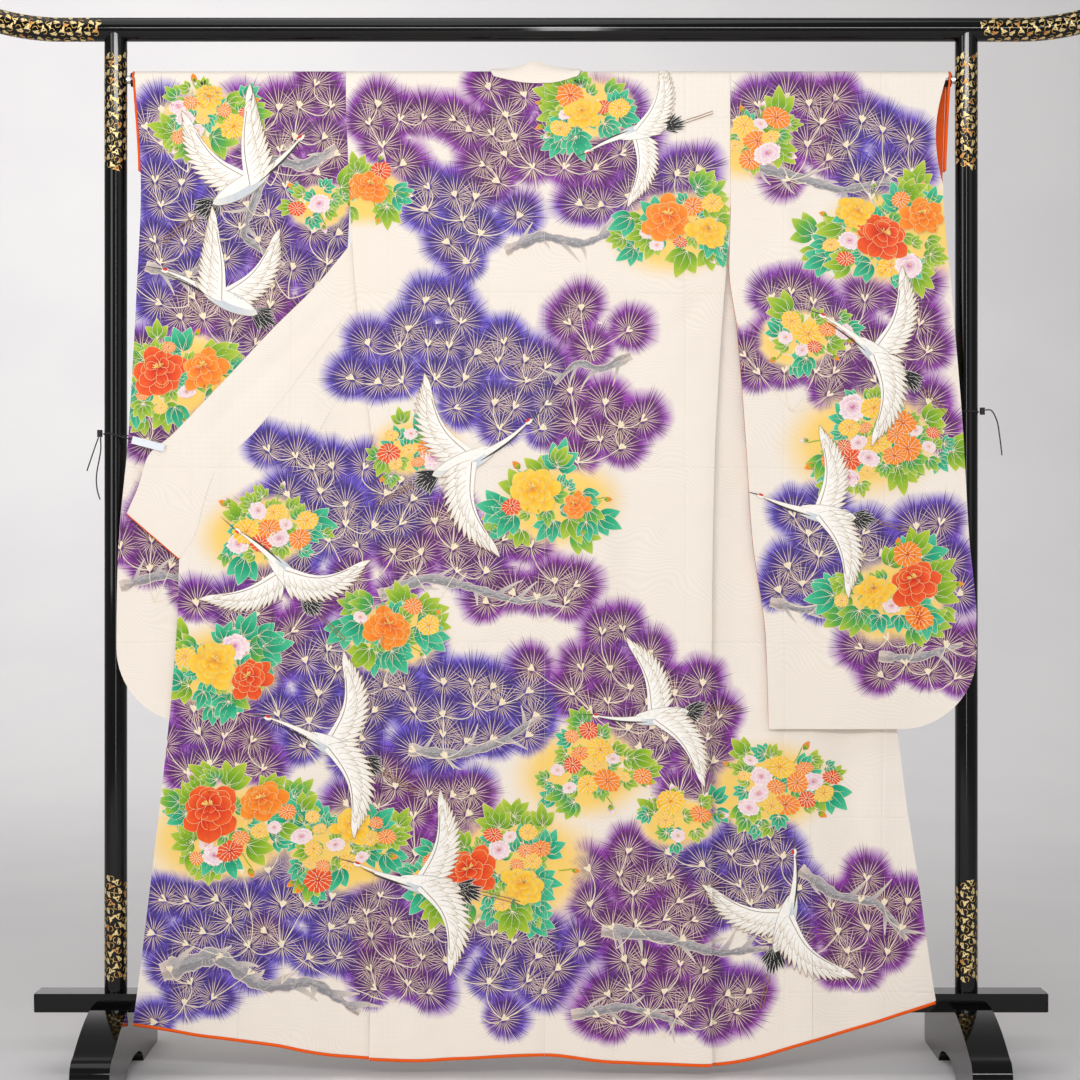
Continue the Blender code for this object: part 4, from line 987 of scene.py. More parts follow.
def inked_mesh(
    name: str, points: Array, shapes: Array, normal: Array, material: Finish
) -> Piece:
    """Make one object of inked triangles, each facing along the normals of what it lies on.

    Args:
        name: The object's name.
        points: The triangles' corners, shaped (n, 3, 3).
        shapes: The same triangles' flat data, for their colours and gilt.
        normal: The surface's direction at each corner.
        material: The ink.

    Returns:
        The object.
    """
    faces = np.arange(len(points) * 3).reshape(-1, 3)
    facing = np.cross(points[:, 1] - points[:, 0], points[:, 2] - points[:, 0])
    turned = (facing * normal[:, 0]).sum(axis=1) < 0.0
    faces[turned] = faces[turned][:, ::-1]
    obj = add_mesh(name, points.reshape(-1, 3), faces, material)
    tint = obj.data.color_attributes.new("tint", "FLOAT_COLOR", "POINT")
    colour = np.concatenate([shapes[:, :, 2:5], 1.0 - shapes[:, :, 5:6]], axis=2)
    tint.data.foreach_set("color", colour.reshape(-1).astype(np.float32))
    obj.data.normals_split_custom_set_from_vertices(normal.reshape(-1, 3).tolist())
    return settle(obj)


@dataclass
class Panel:
    """One piece of cloth as a thin wall on a grid of points, with the stretch of the design on it.

    Attributes:
        name: Its CAD node.
        side: The side of the garment that it is on.
        middle: Its grid: rows run down, columns outwards.
        cut: Its width, length and area before it was hung, in metres; not used.
        group: Whose design it carries.
        near: True where its outside faces the viewer.
        inside: The material of its inside.
        held: How it is held; not used.
        depth: How far back it lies, from x and the row's height.
        limits: Its nearest and furthest reach to its side, from the row's height.
        hem: Whether its rows follow the hem's line.
        floor: The lowest row that is painted.
        top: The highest painted place.
    """

    name: str
    side: Side
    middle: Array
    cut: tuple[float, float, float]
    group: Group = Group.PLAIN
    near: bool = True
    inside: str = "cream"
    held: str = "hung"
    depth: Field | None = None
    limits: Sequence[Callable] = ()
    hem: bool = True
    floor: float = 0.001
    top: float = 1.6745

    def build(self, materials: Materials, tufts: "TuftField | None") -> Piece:
        """Make the piece, and paint the pine tufts of its group on it.

        Args:
            materials: The scene's materials.
            tufts: The tufts, or None where it is plain.

        Returns:
            The finished object.
        """
        middle = self.middle[:, ::-1] if (self.side is Side.LEFT) == self.near else self.middle
        obj, faces = slab(f"{self.name}_cloth", middle, WALL, materials.silk, 60.0)
        obj.data.materials.append(getattr(materials, self.inside))
        quads = (middle.shape[0] - 1) * (middle.shape[1] - 1)
        slots = np.zeros(len(faces), np.int32)
        slots[quads : 2 * quads] = 1
        obj.data.polygons.foreach_set("material_index", slots)
        corners = np.concatenate([middle.reshape(-1, 3)] * 2)[:, [0, 2]][faces]
        uv = obj.data.uv_layers.new(name="cloth")
        uv.uv.foreach_set("vector", corners.ravel().astype(np.float32))
        self.paint(obj, corners, tufts)
        settle(obj, self.name)
        return obj

    @staticmethod
    def paint(obj: Piece, corners: Array, tufts: "TuftField | None") -> None:
        """Store each face corner's place beside the three tufts nearest to its face, its hue and its glow.

        Args:
            obj: The piece.
            corners: Each face corner's place on the flat design.
            tufts: The tufts, or None where it is plain.
        """
        layers = np.full((4, *corners.shape[:2], 3), FAR_AWAY, np.float32)
        layers[3] = 0.0
        if tufts:
            gap = np.hypot(*(corners.mean(axis=1)[:, None, :] - tufts.centres[None]).transpose(2, 0, 1))
            nearest = np.argsort(gap, axis=1)[:, :3]
            for k, which in enumerate(nearest.T):
                off = corners - tufts.centres[which][:, None, :]
                c, s = np.cos(tufts.headings[which])[:, None], np.sin(tufts.headings[which])[:, None]
                layers[k, :, :, 0] = off[:, :, 0] * c + off[:, :, 1] * s
                layers[k, :, :, 1] = off[:, :, 1] * c - off[:, :, 0] * s
                layers[k, :, :, 2] = tufts.seeds[which][:, None]
            weight = 1.0 / (np.take_along_axis(gap, nearest, 1) ** 2 + 1e-4)
            layers[3, :, :, 0] = ((weight * tufts.hues[nearest]).sum(1) / weight.sum(1))[:, None]
            layers[3, :, :, 1] = tufts.glow(corners.reshape(-1, 2)).reshape(corners.shape[:2])
        for name, values in zip(("tuft_0", "tuft_1", "tuft_2", "paint"), layers):
            layer = obj.data.attributes.new(name, "FLOAT_VECTOR", "CORNER")
            layer.data.foreach_set("vector", values.ravel())

    def lay(self, design: "Design", material: Finish) -> Piece | None:
        """Cut the design's shapes at the piece's edges and lay them on its cloth.

        Args:
            design: The design of the piece's group.
            material: The ink.

        Returns:
            The object with the shapes, or None where nothing of the design meets the piece.
        """
        sign, (inner, outer) = self.side.value, self.limits
        way = -1.0 if self.near else 1.0

        def row(x: Array, z: Array) -> Array:
            """The row height at a place."""
            return row_of(x, z) if self.hem else z

        def surface(x: Array, z: Array) -> Array:
            """How far back the cloth lies at a place."""
            bent = way * np.sqrt(FOLD_RADIUS**2 - np.clip(z - ROD_Z, 0.0, FOLD_RADIUS) ** 2)
            return np.where(z > ROD_Z, bent, self.depth(x, row(x, np.minimum(z, ROD_Z))))

        shapes = design.ink
        for edge in (
            lambda x, z: sign * x - inner(row(x, z)),
            lambda x, z: outer(row(x, z)) - sign * x,
            lambda x, z: row(x, z) - self.floor,
            lambda x, z: self.top - z,
        ):
            shapes = self.trimmed(shapes, edge)
        if not len(shapes):
            return None
        x, z = shapes[:, :, 0], shapes[:, :, 1]
        middle = surface(x, z)
        slope_x = (surface(x + SLOPE_STEP, z) - middle) / SLOPE_STEP
        slope_z = (surface(x, z - SLOPE_STEP) - middle) / -SLOPE_STEP
        normal = np.stack([-slope_x, np.ones_like(x), -slope_z], axis=2) * way
        normal /= np.linalg.norm(normal, axis=2, keepdims=True)
        lift = WALL / 2 + INK_LIFT + INK_STEP * shapes[:, :, 6:]
        points = np.stack([x, middle, z], axis=2) + normal * lift
        return inked_mesh(f"painting_{self.name}", points, shapes, normal, material)

    @staticmethod
    def trimmed(shapes: Array, edge: Field) -> Array:
        """Keep the part of each triangle where the edge's distance is above zero.

        Args:
            shapes: The triangles.
            edge: The distance inside the edge at a place.

        Returns:
            The triangles that are left.
        """
        inside = edge(shapes[:, :, 0], shapes[:, :, 1])
        number = (inside > 0.0).sum(axis=1)
        kept = [shapes[number == 3]]
        for wanted in (1, 2):
            pick = number == wanted
            some, value = shapes[pick], inside[pick]
            odd = np.argmax((value > 0.0) == (wanted == 1), axis=1)
            order = (odd[:, None] + np.arange(3)) % 3
            some = np.take_along_axis(some, order[:, :, None], 1)
            value = np.take_along_axis(value, order, 1)
            first, last = (
                some[:, 0] + (some[:, k] - some[:, 0]) * (value[:, 0] / (value[:, 0] - value[:, k]))[:, None]
                for k in (1, 2)
            )
            if wanted == 1:
                kept.append(np.stack([some[:, 0], first, last], 1))
            else:
                kept += [np.stack([some[:, 1], some[:, 2], last], 1), np.stack([some[:, 1], last, first], 1)]
        return np.concatenate(kept)


# The painting


class Form(Enum):
    """The outline of an inked blade: where it is widest along itself, and its width at the root."""

    STEM = (0.0, 1.0)
    TAPER = (0.1, 1.0)
    LEAF = (0.40, 0.0)
    PETAL = (0.66, 0.30)
    SPOON = (0.72, 0.22)
    FEATHER = (0.55, 0.55)
    BODY = (0.5, 0.0)
    DISC = (0.5, 0.1)

    def width(self, t: Array) -> Array:
        """The half width at each place along the blade, 0 to 1.

        Args:
            t: The places.

        Returns:
            The half widths.
        """
        if self is Form.STEM:
            return np.ones_like(t)
        if self is Form.TAPER:
            return 1.0 - 0.85 * t
        if self is Form.LEAF:
            return np.sin(np.pi * t**0.75) ** 0.85
        if self is Form.BODY:
            return np.sin(np.pi * t) ** 0.6
        if self is Form.DISC:
            return 2.0 * np.sqrt(t * (1.0 - t))
        peak, low = self.value
        past = np.clip(t - peak, 0.0, None) / (1.0 - peak)
        rise = low + (1.0 - low) * np.sin(np.pi / 2 * np.clip(t / peak, 0.0, 1.0))
        power = {Form.FEATHER: 1.7, Form.PETAL: 3.0}.get(self)
        return np.where(t < peak, rise, 1.0 - past**power if power else np.sqrt(1.0 - past**2))


GOLD_LINE = rgb(232, 202, 140)
CREAM_LINE = rgb(248, 232, 200)
QUILL_LINE = rgb(150, 112, 74)
SOFT_LINE = rgb(190, 168, 140)
PALE_STEM = rgb(238, 224, 200)


def heading_vector(angle: float) -> Array:
    """The unit vector of a heading."""
    return np.array([math.cos(angle), math.sin(angle)])


class Ink:
    """Collects flat inked shapes as triangles in the plane of the cloth.

    Each corner holds x, z, red, green, blue, gilt and level. Shapes are drawn in a local frame that
    at() sets: its place, its turn, and how much it is squashed across.
    """

    def __init__(self) -> None:
        """Start with nothing drawn."""
        self.parts: list[Array] = []
        self.at(0.0, 0.0)

    def at(
        self, x: float, z: float, turn: float = 0.0, squash: float = 1.0, scale: float = 1.0, base: int = 0
    ) -> None:
        """Set the local frame for what is drawn next and the level that it starts from.

        Args:
            x: Where the frame's middle lies across the cloth.
            z: Where it lies up the cloth.
            turn: How far the frame is turned, in radians.
            squash: How much shorter its second axis is.
            scale: How large it is.
            base: The level that what is drawn next starts from.
        """
        c, s = math.cos(turn), math.sin(turn)
        self.centre = np.array([x, z])
        self.frame = np.array([[c, -s], [s, c]]) @ np.diag([scale, scale * squash])
        self.base, self.scale = base, scale

    def grid(self, points: Array, colour: Array, level: int, gilt: float = 0.0) -> None:
        """Add a grid of points, shaped (rows, columns, 2), with a colour for each row.

        Args:
            points: The points, in the local frame.
            colour: Their colours.
            level: How high they lie over the other shapes.
            gilt: How gilded they are.
        """
        placed = points @ self.frame.T + self.centre
        rows, cols = placed.shape[:2]
        data = np.empty((rows, cols, 7))
        data[:, :, :2] = placed
        data[:, :, 2:5] = np.broadcast_to(np.atleast_2d(colour)[:, None, :], (rows, cols, 3))
        data[:, :, 5:] = gilt, self.base + level
        a, b, c, d = data[:-1, :-1], data[1:, :-1], data[1:, 1:], data[:-1, 1:]
        self.parts += [np.stack(corners, axis=2).reshape(-1, 3, 7) for corners in ((a, b, c), (a, c, d))]

    def ribbon(self, line: Array, half: Array, colour: Array, level: int, across: int = 1) -> None:
        """Add a strip along a line of points, with a half width at each point.

        Args:
            line: The line's points.
            half: The half widths.
            colour: The colour or colours along it.
            level: How high it lies over the other shapes.
            across: How many faces wide it is.
        """
        along = np.gradient(line, axis=0)
        along /= np.linalg.norm(along, axis=1, keepdims=True) + 1e-9
        normal = np.stack([-along[:, 1], along[:, 0]], 1)
        spread = np.asarray(half)[:, None] * np.linspace(-1.0, 1.0, across + 1)
        self.grid(line[:, None] + normal[:, None] * spread[:, :, None], colour, level)

    def arc(
        self, start: Array, bend: Array, end: Array, widths: Sequence[float], colour: Colour, level: int
    ) -> None:
        """Add a tapering strip that leaves start towards bend and comes to end from there.

        Args:
            start: Its first point.
            bend: The point that it leaves towards and comes from.
            end: Its last point.
            widths: Its width at the start and at the end.
            colour: Its colour.
            level: How high it lies over the other shapes.
        """
        t = np.linspace(0.0, 1.0, 11)[:, None]
        line = (1 - t) ** 2 * start + 2 * t * (1 - t) * bend + t**2 * end
        self.ribbon(line, np.interp(t[:, 0], (0, 1), widths) / 2, np.array(colour), level)

    def blade(
        self, start: Sequence[float], heading: float, length: float, width: float, form: Form,
        colours: Sequence[Colour], level: int, bend: float = 0.0, rim: Colour | None = None,
        rim_width: float = 0.0005, gilt: float = 0.0, wavy: float = 0.0,
    ) -> Array:
        """Draw a blade: a bent middle line with a form's width to each side.

        Args:
            start: Where its root is, in the local frame.
            heading: The direction it starts in, in radians.
            length: Its length.
            width: Its full width at the widest.
            form: Its outline.
            colours: The colours from root to tip.
            level: Its level above the cloth.
            bend: How far its direction turns along it, in radians.
            rim: The colour of a line round it, if any.
            rim_width: That line's width.
            gilt: 1 where it is gold.
            wavy: How deeply its tip is notched, as a share of its length.

        Returns:
            The point at its tip.
        """
        steps = max(3 if length < 0.015 else 5, math.ceil(length * self.scale / INK_CELL))
        across = max(4 if wavy else 1, math.ceil(0.8 * width * self.scale / INK_CELL))
        t = np.linspace(0.0, 1.0, steps + 1)
        if form in (Form.PETAL, Form.SPOON, Form.FEATHER):
            t = 1.0 - (1.0 - t) ** 1.5
        angle = heading + bend * t
        mid = (angle[1:] + angle[:-1]) / 2
        step = np.diff(t)[:, None] * length * np.stack([np.cos(mid), np.sin(mid)], 1)
        line = np.vstack([[0.0, 0.0], np.cumsum(step, axis=0)]) + np.asarray(start)
        way = np.stack([np.cos(angle), np.sin(angle)], 1)
        normal = np.stack([-way[:, 1], way[:, 0]], 1)
        half = width / 2 * form.width(t)
        s = np.linspace(-1.0, 1.0, across + 1)
        notch = wavy * length * (t**3)[:, None] * (np.cos(2.2 * np.pi * s) - 0.6 * s * s)
        aside = normal[:, None] * (half[:, None] * s)[:, :, None]
        points = line[:, None] + way[:, None] * notch[:, :, None] + aside
        stops = np.linspace(0.0, 1.0, len(colours))
        shade = np.stack([np.interp(t, stops, [c[k] for c in colours]) for k in range(3)], 1)
        self.grid(points, shade, level, gilt)
        if rim is not None:
            end = np.clip(t - 0.8, 0.0, 0.2)[:, None] * 5.0 * way
            for edge, away in ((points[:, 0], end - normal), (points[:, -1], end + normal)):
                self.grid(np.stack([edge, edge + rim_width * away], 1), np.array(rim), level, gilt)
        return line[-1]

    def triangles(self) -> Array:
        """All triangles drawn so far, shaped (n, 3, 7)."""
        return np.concatenate(self.parts)


class Tone(Enum):
    """The colours of flowers and leaves, from their root to their tip."""

    RED = (rgb(192, 24, 2), rgb(228, 56, 4), rgb(246, 96, 26))
    ORANGE = (rgb(220, 76, 0), rgb(246, 116, 4), rgb(254, 152, 36))
    YELLOW = (rgb(234, 140, 2), rgb(252, 184, 16), rgb(255, 212, 72))
    PINK = (rgb(214, 122, 178), rgb(242, 200, 220), rgb(254, 244, 238))
    LIME = (rgb(74, 138, 8), rgb(132, 178, 22), rgb(194, 208, 60))
    TEAL = (rgb(2, 128, 92), rgb(20, 168, 122), rgb(84, 204, 156))
    MIXED = (rgb(4, 134, 98), rgb(86, 170, 54), rgb(194, 208, 60))


class Painter:
    """Draws the motifs: each is a plain traditional one, worked out from rings and rows of blades."""

    def __init__(self, ink: Ink, seed: int) -> None:
        """Keep the ink to draw with and its own random numbers."""
        self.ink = ink
        self.random = np.random.default_rng(seed)

    def peony(self, x: float, z: float, radius: float, tone: Tone, base: int) -> None:
        """A peony from four rings of broad wavy petals, the inner ones nearer its top, round its stamens.

        Args:
            x: Its middle across the cloth.
            z: Its middle up the cloth.
            radius: Its radius.
            tone: Its colours.
            base: The first level to draw on.
        """
        ink, rng = self.ink, self.random
        ink.at(x, z, rng.uniform(-0.6, 0.6), rng.uniform(0.82, 0.95), 1.0, base)
        rings = ((7, 1.0, 0.72, 0.0), (6, 0.80, 0.60, 0.45), (5, 0.58, 0.50, 0.9), (3, 0.36, 0.42, 0.25))
        for order, (count, reach, width, phase) in enumerate(rings):
            for k in range(count):
                heading = 2.0 * math.pi * (k + phase) / count + rng.uniform(-0.24, 0.24)
                root = np.array([0.0, 0.09 * radius * order]) + 0.06 * radius * heading_vector(heading)
                length = radius * reach * rng.uniform(0.74, 1.12)
                ink.blade(
                    root, heading, length, radius * width * rng.uniform(0.78, 1.15), Form.PETAL, tone.value,
                    2 * order + k % 2, rng.uniform(-0.45, 0.45), GOLD_LINE, 0.0007, wavy=0.13,
                )
        for _ in range(14):
            heading = math.pi / 2 + rng.uniform(-1.3, 1.3)
            colours = (rgb(222, 130, 20), rgb(255, 232, 130))
            length = radius * rng.uniform(0.12, 0.30)
            ink.blade((0.0, 0.22 * radius), heading, length, 0.0020, Form.SPOON, colours, 8)

    def daisy(self, x: float, z: float, radius: float, tone: Tone, base: int) -> None:
        """A chrysanthemum from two rings of long petals round an eye that is set off its middle.

        Args:
            x: Its middle across the cloth.
            z: Its middle up the cloth.
            radius: Its radius.
            tone: Its colours.
            base: The first level to draw on.
        """
        ink, rng = self.ink, self.random
        ink.at(x, z, rng.uniform(-0.5, 0.5), rng.uniform(0.68, 0.92), 1.0, base)
        eye = radius * np.array([rng.uniform(-0.20, 0.20), rng.uniform(0.0, 0.35)])
        for order, (count, reach) in enumerate(((14, 1.0), (10, 0.62))):
            disc = 0.90 * radius * reach
            middle = eye * (0.4 if order else 1.0)
            ink.blade((-disc, 0.0), 0.0, 2.0 * disc, 2.0 * disc, Form.DISC, (tone.value[0],), 3 * order)
            for k in range(count):
                heading = 2.0 * math.pi * (k + 0.5 * order) / count + rng.uniform(-0.05, 0.05)
                tip = radius * reach * rng.uniform(0.88, 1.06) * heading_vector(heading)
                rim = radius * reach * heading_vector(2.0 * math.pi * (k + 0.5 + 0.5 * order) / count)
                width = 2.0 * math.pi * radius * reach / count - 0.0003
                colours = tone.value[(k + order) % 2 :] if tone is not Tone.PINK else tone.value
                for end, share, inset, broad, form, shades, level in (
                    (tip, 0.86, 0.86, width, Form.SPOON, colours, 1),
                    (0.96 * rim, 0.74, 0.72, 0.0009, Form.STEM, (CREAM_LINE,), 2),
                ):
                    line = end - middle
                    start = end - inset * line
                    turn = math.atan2(line[1], line[0])
                    length = share * float(np.hypot(*line))
                    ink.blade(start, turn, length, broad, form, shades, 3 * order + level)
        ink.blade(eye * 0.7 - [0.0018, 0.0], 0.0, 0.0036, 0.0030, Form.BODY, (rgb(255, 214, 90),), 6)

    def leaf(
        self, x: float, z: float, heading: float, size: float, tone: Tone, base: int, lobes: int
    ) -> None:
        """A lobed leaf: a blade for each lobe with a fine vein along it.

        Args:
            x: Where it starts across the cloth.
            z: Where it starts up the cloth.
            heading: The direction that it points in.
            size: Its length.
            tone: Its colours.
            base: The first level to draw on.
            lobes: How many lobes it has.
        """
        ink, rng = self.ink, self.random
        ink.at(x, z, heading, 1.0, 1.0, base)
        spread = (-0.60, 0.60, 0.0) if lobes == 3 else (-1.1, 1.1, -0.52, 0.52, 0.0)
        for k, turn in enumerate(spread):
            length = size * (1.0 - 0.26 * abs(turn)) * rng.uniform(0.90, 1.08)
            bend = rng.uniform(-0.25, 0.25) + 0.25 * turn
            width = size * (0.50 if lobes == 3 else 0.46)
            ink.blade((0.0, 0.0), turn, length, width, Form.LEAF, tone.value, min(k, 2), bend, CREAM_LINE)
            ink.blade((0.0, 0.0), turn, length * 0.72, 0.0010, Form.TAPER, (CREAM_LINE,), 3, bend)

    def bud(self, x: float, z: float, heading: float, size: float, tone: Tone) -> None:
        """A closed bud in its two green sepals on a short stalk.

        Args:
            x: Where its stalk starts across the cloth.
            z: Where it starts up the cloth.
            heading: The direction that it points in.
            size: Its length.
            tone: Its colours.
        """
        ink = self.ink
        ink.at(x, z, heading, 1.0, 1.0, LEAF_LEVEL + 8)
        ink.blade((-size * 1.6, 0.0), 0.0, size * 1.7, 0.0016, Form.STEM, (Tone.LIME.value[1],), 0, 0.3)
        ink.blade((0.0, 0.0), 0.0, size, size * 0.62, Form.LEAF, tone.value, 1, 0.0, GOLD_LINE, 0.0004)
        for turn in (-0.35, 0.35):
            ink.blade((0.0, 0.0), turn, size * 0.66, size * 0.28, Form.LEAF, Tone.LIME.value, 2, -turn)

    def posy(self, spot: "Posy") -> None:
        """A loose cluster of flowers: leaves below, then chrysanthemums, then peonies, buds at its rim.

        Args:
            spot: The cluster's place and make.
        """
        rng = self.random
        for k, (a, b) in enumerate(spot.spots(0.0245, 0.008, 1.0, rng)):
            x, z = spot.place(a, b)
            outward = math.atan2(z - spot.z, x - spot.x) + rng.uniform(-0.9, 0.9)
            rim = math.hypot(a, b / spot.flat) > 0.62 * spot.size
            large = rim and (spot.peonies or rng.random() < 0.3)
            size = rng.uniform(0.032, 0.052) if large else rng.uniform(0.020, 0.030)
            tone = (Tone.TEAL, Tone.LIME, Tone.MIXED, Tone.LIME, Tone.TEAL)[int(rng.integers(0, 5))]
            self.leaf(x, z, outward, size, tone, LEAF_LEVEL + 4 * (k % 3), 3 if rng.random() < 0.6 else 5)
        tones = (Tone.YELLOW, Tone.ORANGE, Tone.PINK, Tone.RED, Tone.YELLOW, Tone.PINK, Tone.ORANGE)
        order = spot.first
        for k, (a, b) in enumerate(spot.spots(DAISY_SPACING, 0.006, 0.86, rng)):
            x, z = spot.place(a, b)
            a, b = x - spot.x, z - spot.z
            near = any(math.hypot(a - px, b - pz) < 0.95 * r for px, pz, r, _ in spot.peonies)
            if near or rng.random() > 1.1 * spot.fill:
                continue
            radius = rng.choice([0.0130, 0.0165, 0.0195, 0.0250])
            self.daisy(x, z, radius, tones[order % 7], DAISY_LEVEL + 7 * (k % 3))
            order += 1 + int(rng.random() < 0.4)
        for k, (dx, dz, radius, tone) in enumerate(spot.peonies):
            self.peony(spot.x + dx, spot.z + dz, radius, tone, PEONY_LEVEL + 9 * (k % 2))
        for _ in range(3):
            angle = rng.uniform(0.0, 2.0 * math.pi)
            reach = 1.16 * spot.size
            x, z = spot.place(reach * math.cos(angle), reach * spot.flat * math.sin(angle))
            tone = Tone.ORANGE if rng.random() < 0.6 else Tone.PINK
            self.bud(x, z, math.atan2(z - spot.z, x - spot.x), rng.uniform(0.012, 0.019), tone)

    def bough(self, points: Sequence[Sequence[float]], width: float) -> None:
        """A grey pine bough: a crooked ribbon with broken twigs, hatched darker, pale at its ends.

        Args:
            points: The places it runs through.
            width: How wide it is.
        """
        ink, rng = self.ink, self.random
        ink.at(0.0, 0.0)
        route = np.asarray(points, float)
        span = np.concatenate([[0.0], np.cumsum(np.hypot(*np.diff(route, axis=0).T))])
        s = np.arange(0.0, span[-1], 0.004)
        line = np.stack([np.interp(s, span, route[:, k]) for k in range(2)], 1)
        for k in range(1, 3):
            line[k:-k] = (line[: -2 * k] + line[2 * k :] + line[k:-k]) / 3
        rough = 0.90 + 0.26 * np.sin(s * 150.0 + width * 900.0) * np.sin(s * 61.0)
        rough = rough + rng.uniform(-0.10, 0.10, len(s))
        half = 0.62 * width * rough * (1.0 - 0.65 * s / span[-1])
        fade = np.minimum(1.0, np.minimum(s, span[-1] - s) / 0.035)[:, None]
        colour = np.array(rgb(168, 164, 166)) * fade + np.array(rgb(222, 202, 190)) * (1.0 - fade)
        ink.ribbon(line, half * 1.1 + 0.0006, np.array(rgb(224, 206, 192)), 0, 4)
        ink.ribbon(line, half, colour, 1, 4)
        course = np.arctan2(*np.gradient(line, axis=0).T[::-1])
        aside = half[:, None] * np.stack([-np.sin(course), np.cos(course)], 1)
        ink.ribbon(line - 0.45 * aside, 0.42 * half, 0.72 * colour, 2, 2)
        for k in range(2, len(s) - 2):
            for _ in range(2):
                root = line[k] + rng.uniform(-0.8, 0.8) * aside[k]
                shade = rgb(120, 116, 122) if rng.random() < 0.6 else rgb(212, 206, 202)
                turn = course[k] + rng.uniform(-0.5, 0.5)
                ink.blade(root, turn, rng.uniform(0.004, 0.009), 0.0009, Form.TAPER, (shade,), 3, 0.6)
        grey = (rgb(168, 162, 164), rgb(206, 194, 186), rgb(228, 210, 196))
        for k in range(6, len(s) - 4, 9):
            turn = course[k] + rng.choice([-1.0, 1.0]) * rng.uniform(0.5, 1.1)
            bend = rng.uniform(-0.9, 0.9)
            ink.blade(line[k], turn, rng.uniform(0.026, 0.056), width * 0.60, Form.TAPER, grey, 2, bend)

    def crane(self, spot: "Crane") -> None:
        """A flying crane: feathered wings, a long neck with a dark line, a red crown and black plumes.

        Args:
            spot: The bird's place and make.
        """
        ink, rng = self.ink, self.random
        ink.at(spot.x, spot.z, spot.heading, -1.0 if spot.flip else 1.0, spot.scale, CRANE_LEVEL)
        white, pearl = rgb(252, 248, 240), rgb(238, 232, 222)
        pale, black = rgb(206, 212, 216), rgb(24, 22, 26)
        for offset in (-0.0022, 0.0022):
            ink.blade((-0.040, offset), math.pi + 0.10, 0.088, 0.0012, Form.STEM, (QUILL_LINE,), 0, 0.10)
        for k in range(-5, 6):
            ink.blade(
                (-0.024, 0.0021 * k), math.pi + k * 0.14, 0.056 - 0.0016 * abs(k) - rng.uniform(0.0, 0.010),
                0.0072, Form.LEAF, (white, black, black, black), 1 + (k + 5) % 2, 0.25, pearl, 0.0004,
            )
        self.wing((0.014, 0.006), spot.far_wing, spot.far_bend, 0.128, 1.0, 3)
        shades = (pearl, pale, pale, white)
        ink.blade((-0.044, -0.001), 0.0, 0.092, 0.026, Form.BODY, shades, 13, 0.10, SOFT_LINE)
        ink.blade((-0.036, 0.0035), 0.02, 0.078, 0.015, Form.BODY, (white, white), 14, 0.08)
        neck = ink.blade((0.032, 0.003), 0.12, 0.070, 0.0084, Form.TAPER, (white,), 15, spot.neck, SOFT_LINE)
        ink.blade((0.022, -0.0048), 0.15, 0.080, 0.0022, Form.LEAF, (rgb(50, 48, 54),), 16, spot.neck)
        way = 0.12 + spot.neck
        ahead, up = heading_vector(way), heading_vector(way + math.pi / 2)
        head = neck - 0.004 * ahead
        ink.blade(head, way, 0.013, 0.0064, Form.BODY, (white,), 17, -0.2, SOFT_LINE)
        crown = head + 0.0018 * up + 0.002 * ahead
        ink.blade(crown, way, 0.0095, 0.0036, Form.BODY, (rgb(222, 50, 24),), 18, -0.2)
        ink.blade(head + 0.011 * ahead, way - 0.15, 0.030, 0.0018, Form.TAPER, (rgb(86, 80, 82),), 18)
        self.wing((0.012, -0.002), spot.near_wing, spot.near_bend, 0.134, -1.0, 19)

    def wing(
        self, root: Sequence[float], heading: float, bend: float, span: float, rear: float, base: int
    ) -> None:
        """One wing: feathers fan from its arm, from along the wing at the tip to backwards at the body.

        Args:
            root: The shoulder, in the bird's frame.
            heading: The direction of the arm.
            bend: How far the hand turns from the arm.
            span: The wing's length.
            rear: Which side of the arm the feathers trail to, as a sign.
            base: The first level to draw on.
        """
        ink = self.ink
        white, pearl = rgb(253, 249, 242), rgb(236, 226, 208)
        arms = []
        for row, (count, share, line) in enumerate(((18, 0.35, QUILL_LINE), (13, 0.20, SOFT_LINE))):
            t = np.linspace(0.0, 1.0 - 0.08 * row, count)
            angle = heading + bend * smoothstep(0.15, 0.9, t)
            step = span * 0.74 * t[1] * np.stack([np.cos(angle), np.sin(angle)], 1)[:-1]
            arm = np.vstack([[0.0, 0.0], np.cumsum(step, axis=0)]) + np.asarray(root)
            arms.append((arm, 0.0066 * (1.0 - 0.8 * t)))
            for k in range(count - 1, -1, -1):
                grow = 0.80 + 0.30 * math.sin(math.pi * min(t[k] * 0.8 + 0.2, 1.0))
                trail = rear * (1.12 - 1.02 * t[k] ** 0.85)
                length, level = span * share * grow, base + 3 * row + k % 3
                colours = (white, white, pearl)
                ink.blade(
                    arm[k], angle[k] + trail, length, 0.0084, Form.FEATHER, colours, level, -rear * 0.22, line
                )
        arm, half = arms[0]
        ink.ribbon(arm, half, np.array(white), base + 6, 2)
        ink.ribbon(arm, np.full(len(arm), 0.0005), np.array(QUILL_LINE), base + 7)


@dataclass(frozen=True)
class Cloud:
    """One mass of pine tufts: an ellipse of the cloth and how plum-coloured it is, 0 to 1."""

    x: float
    z: float
    wide: float
    high: float
    hue: float


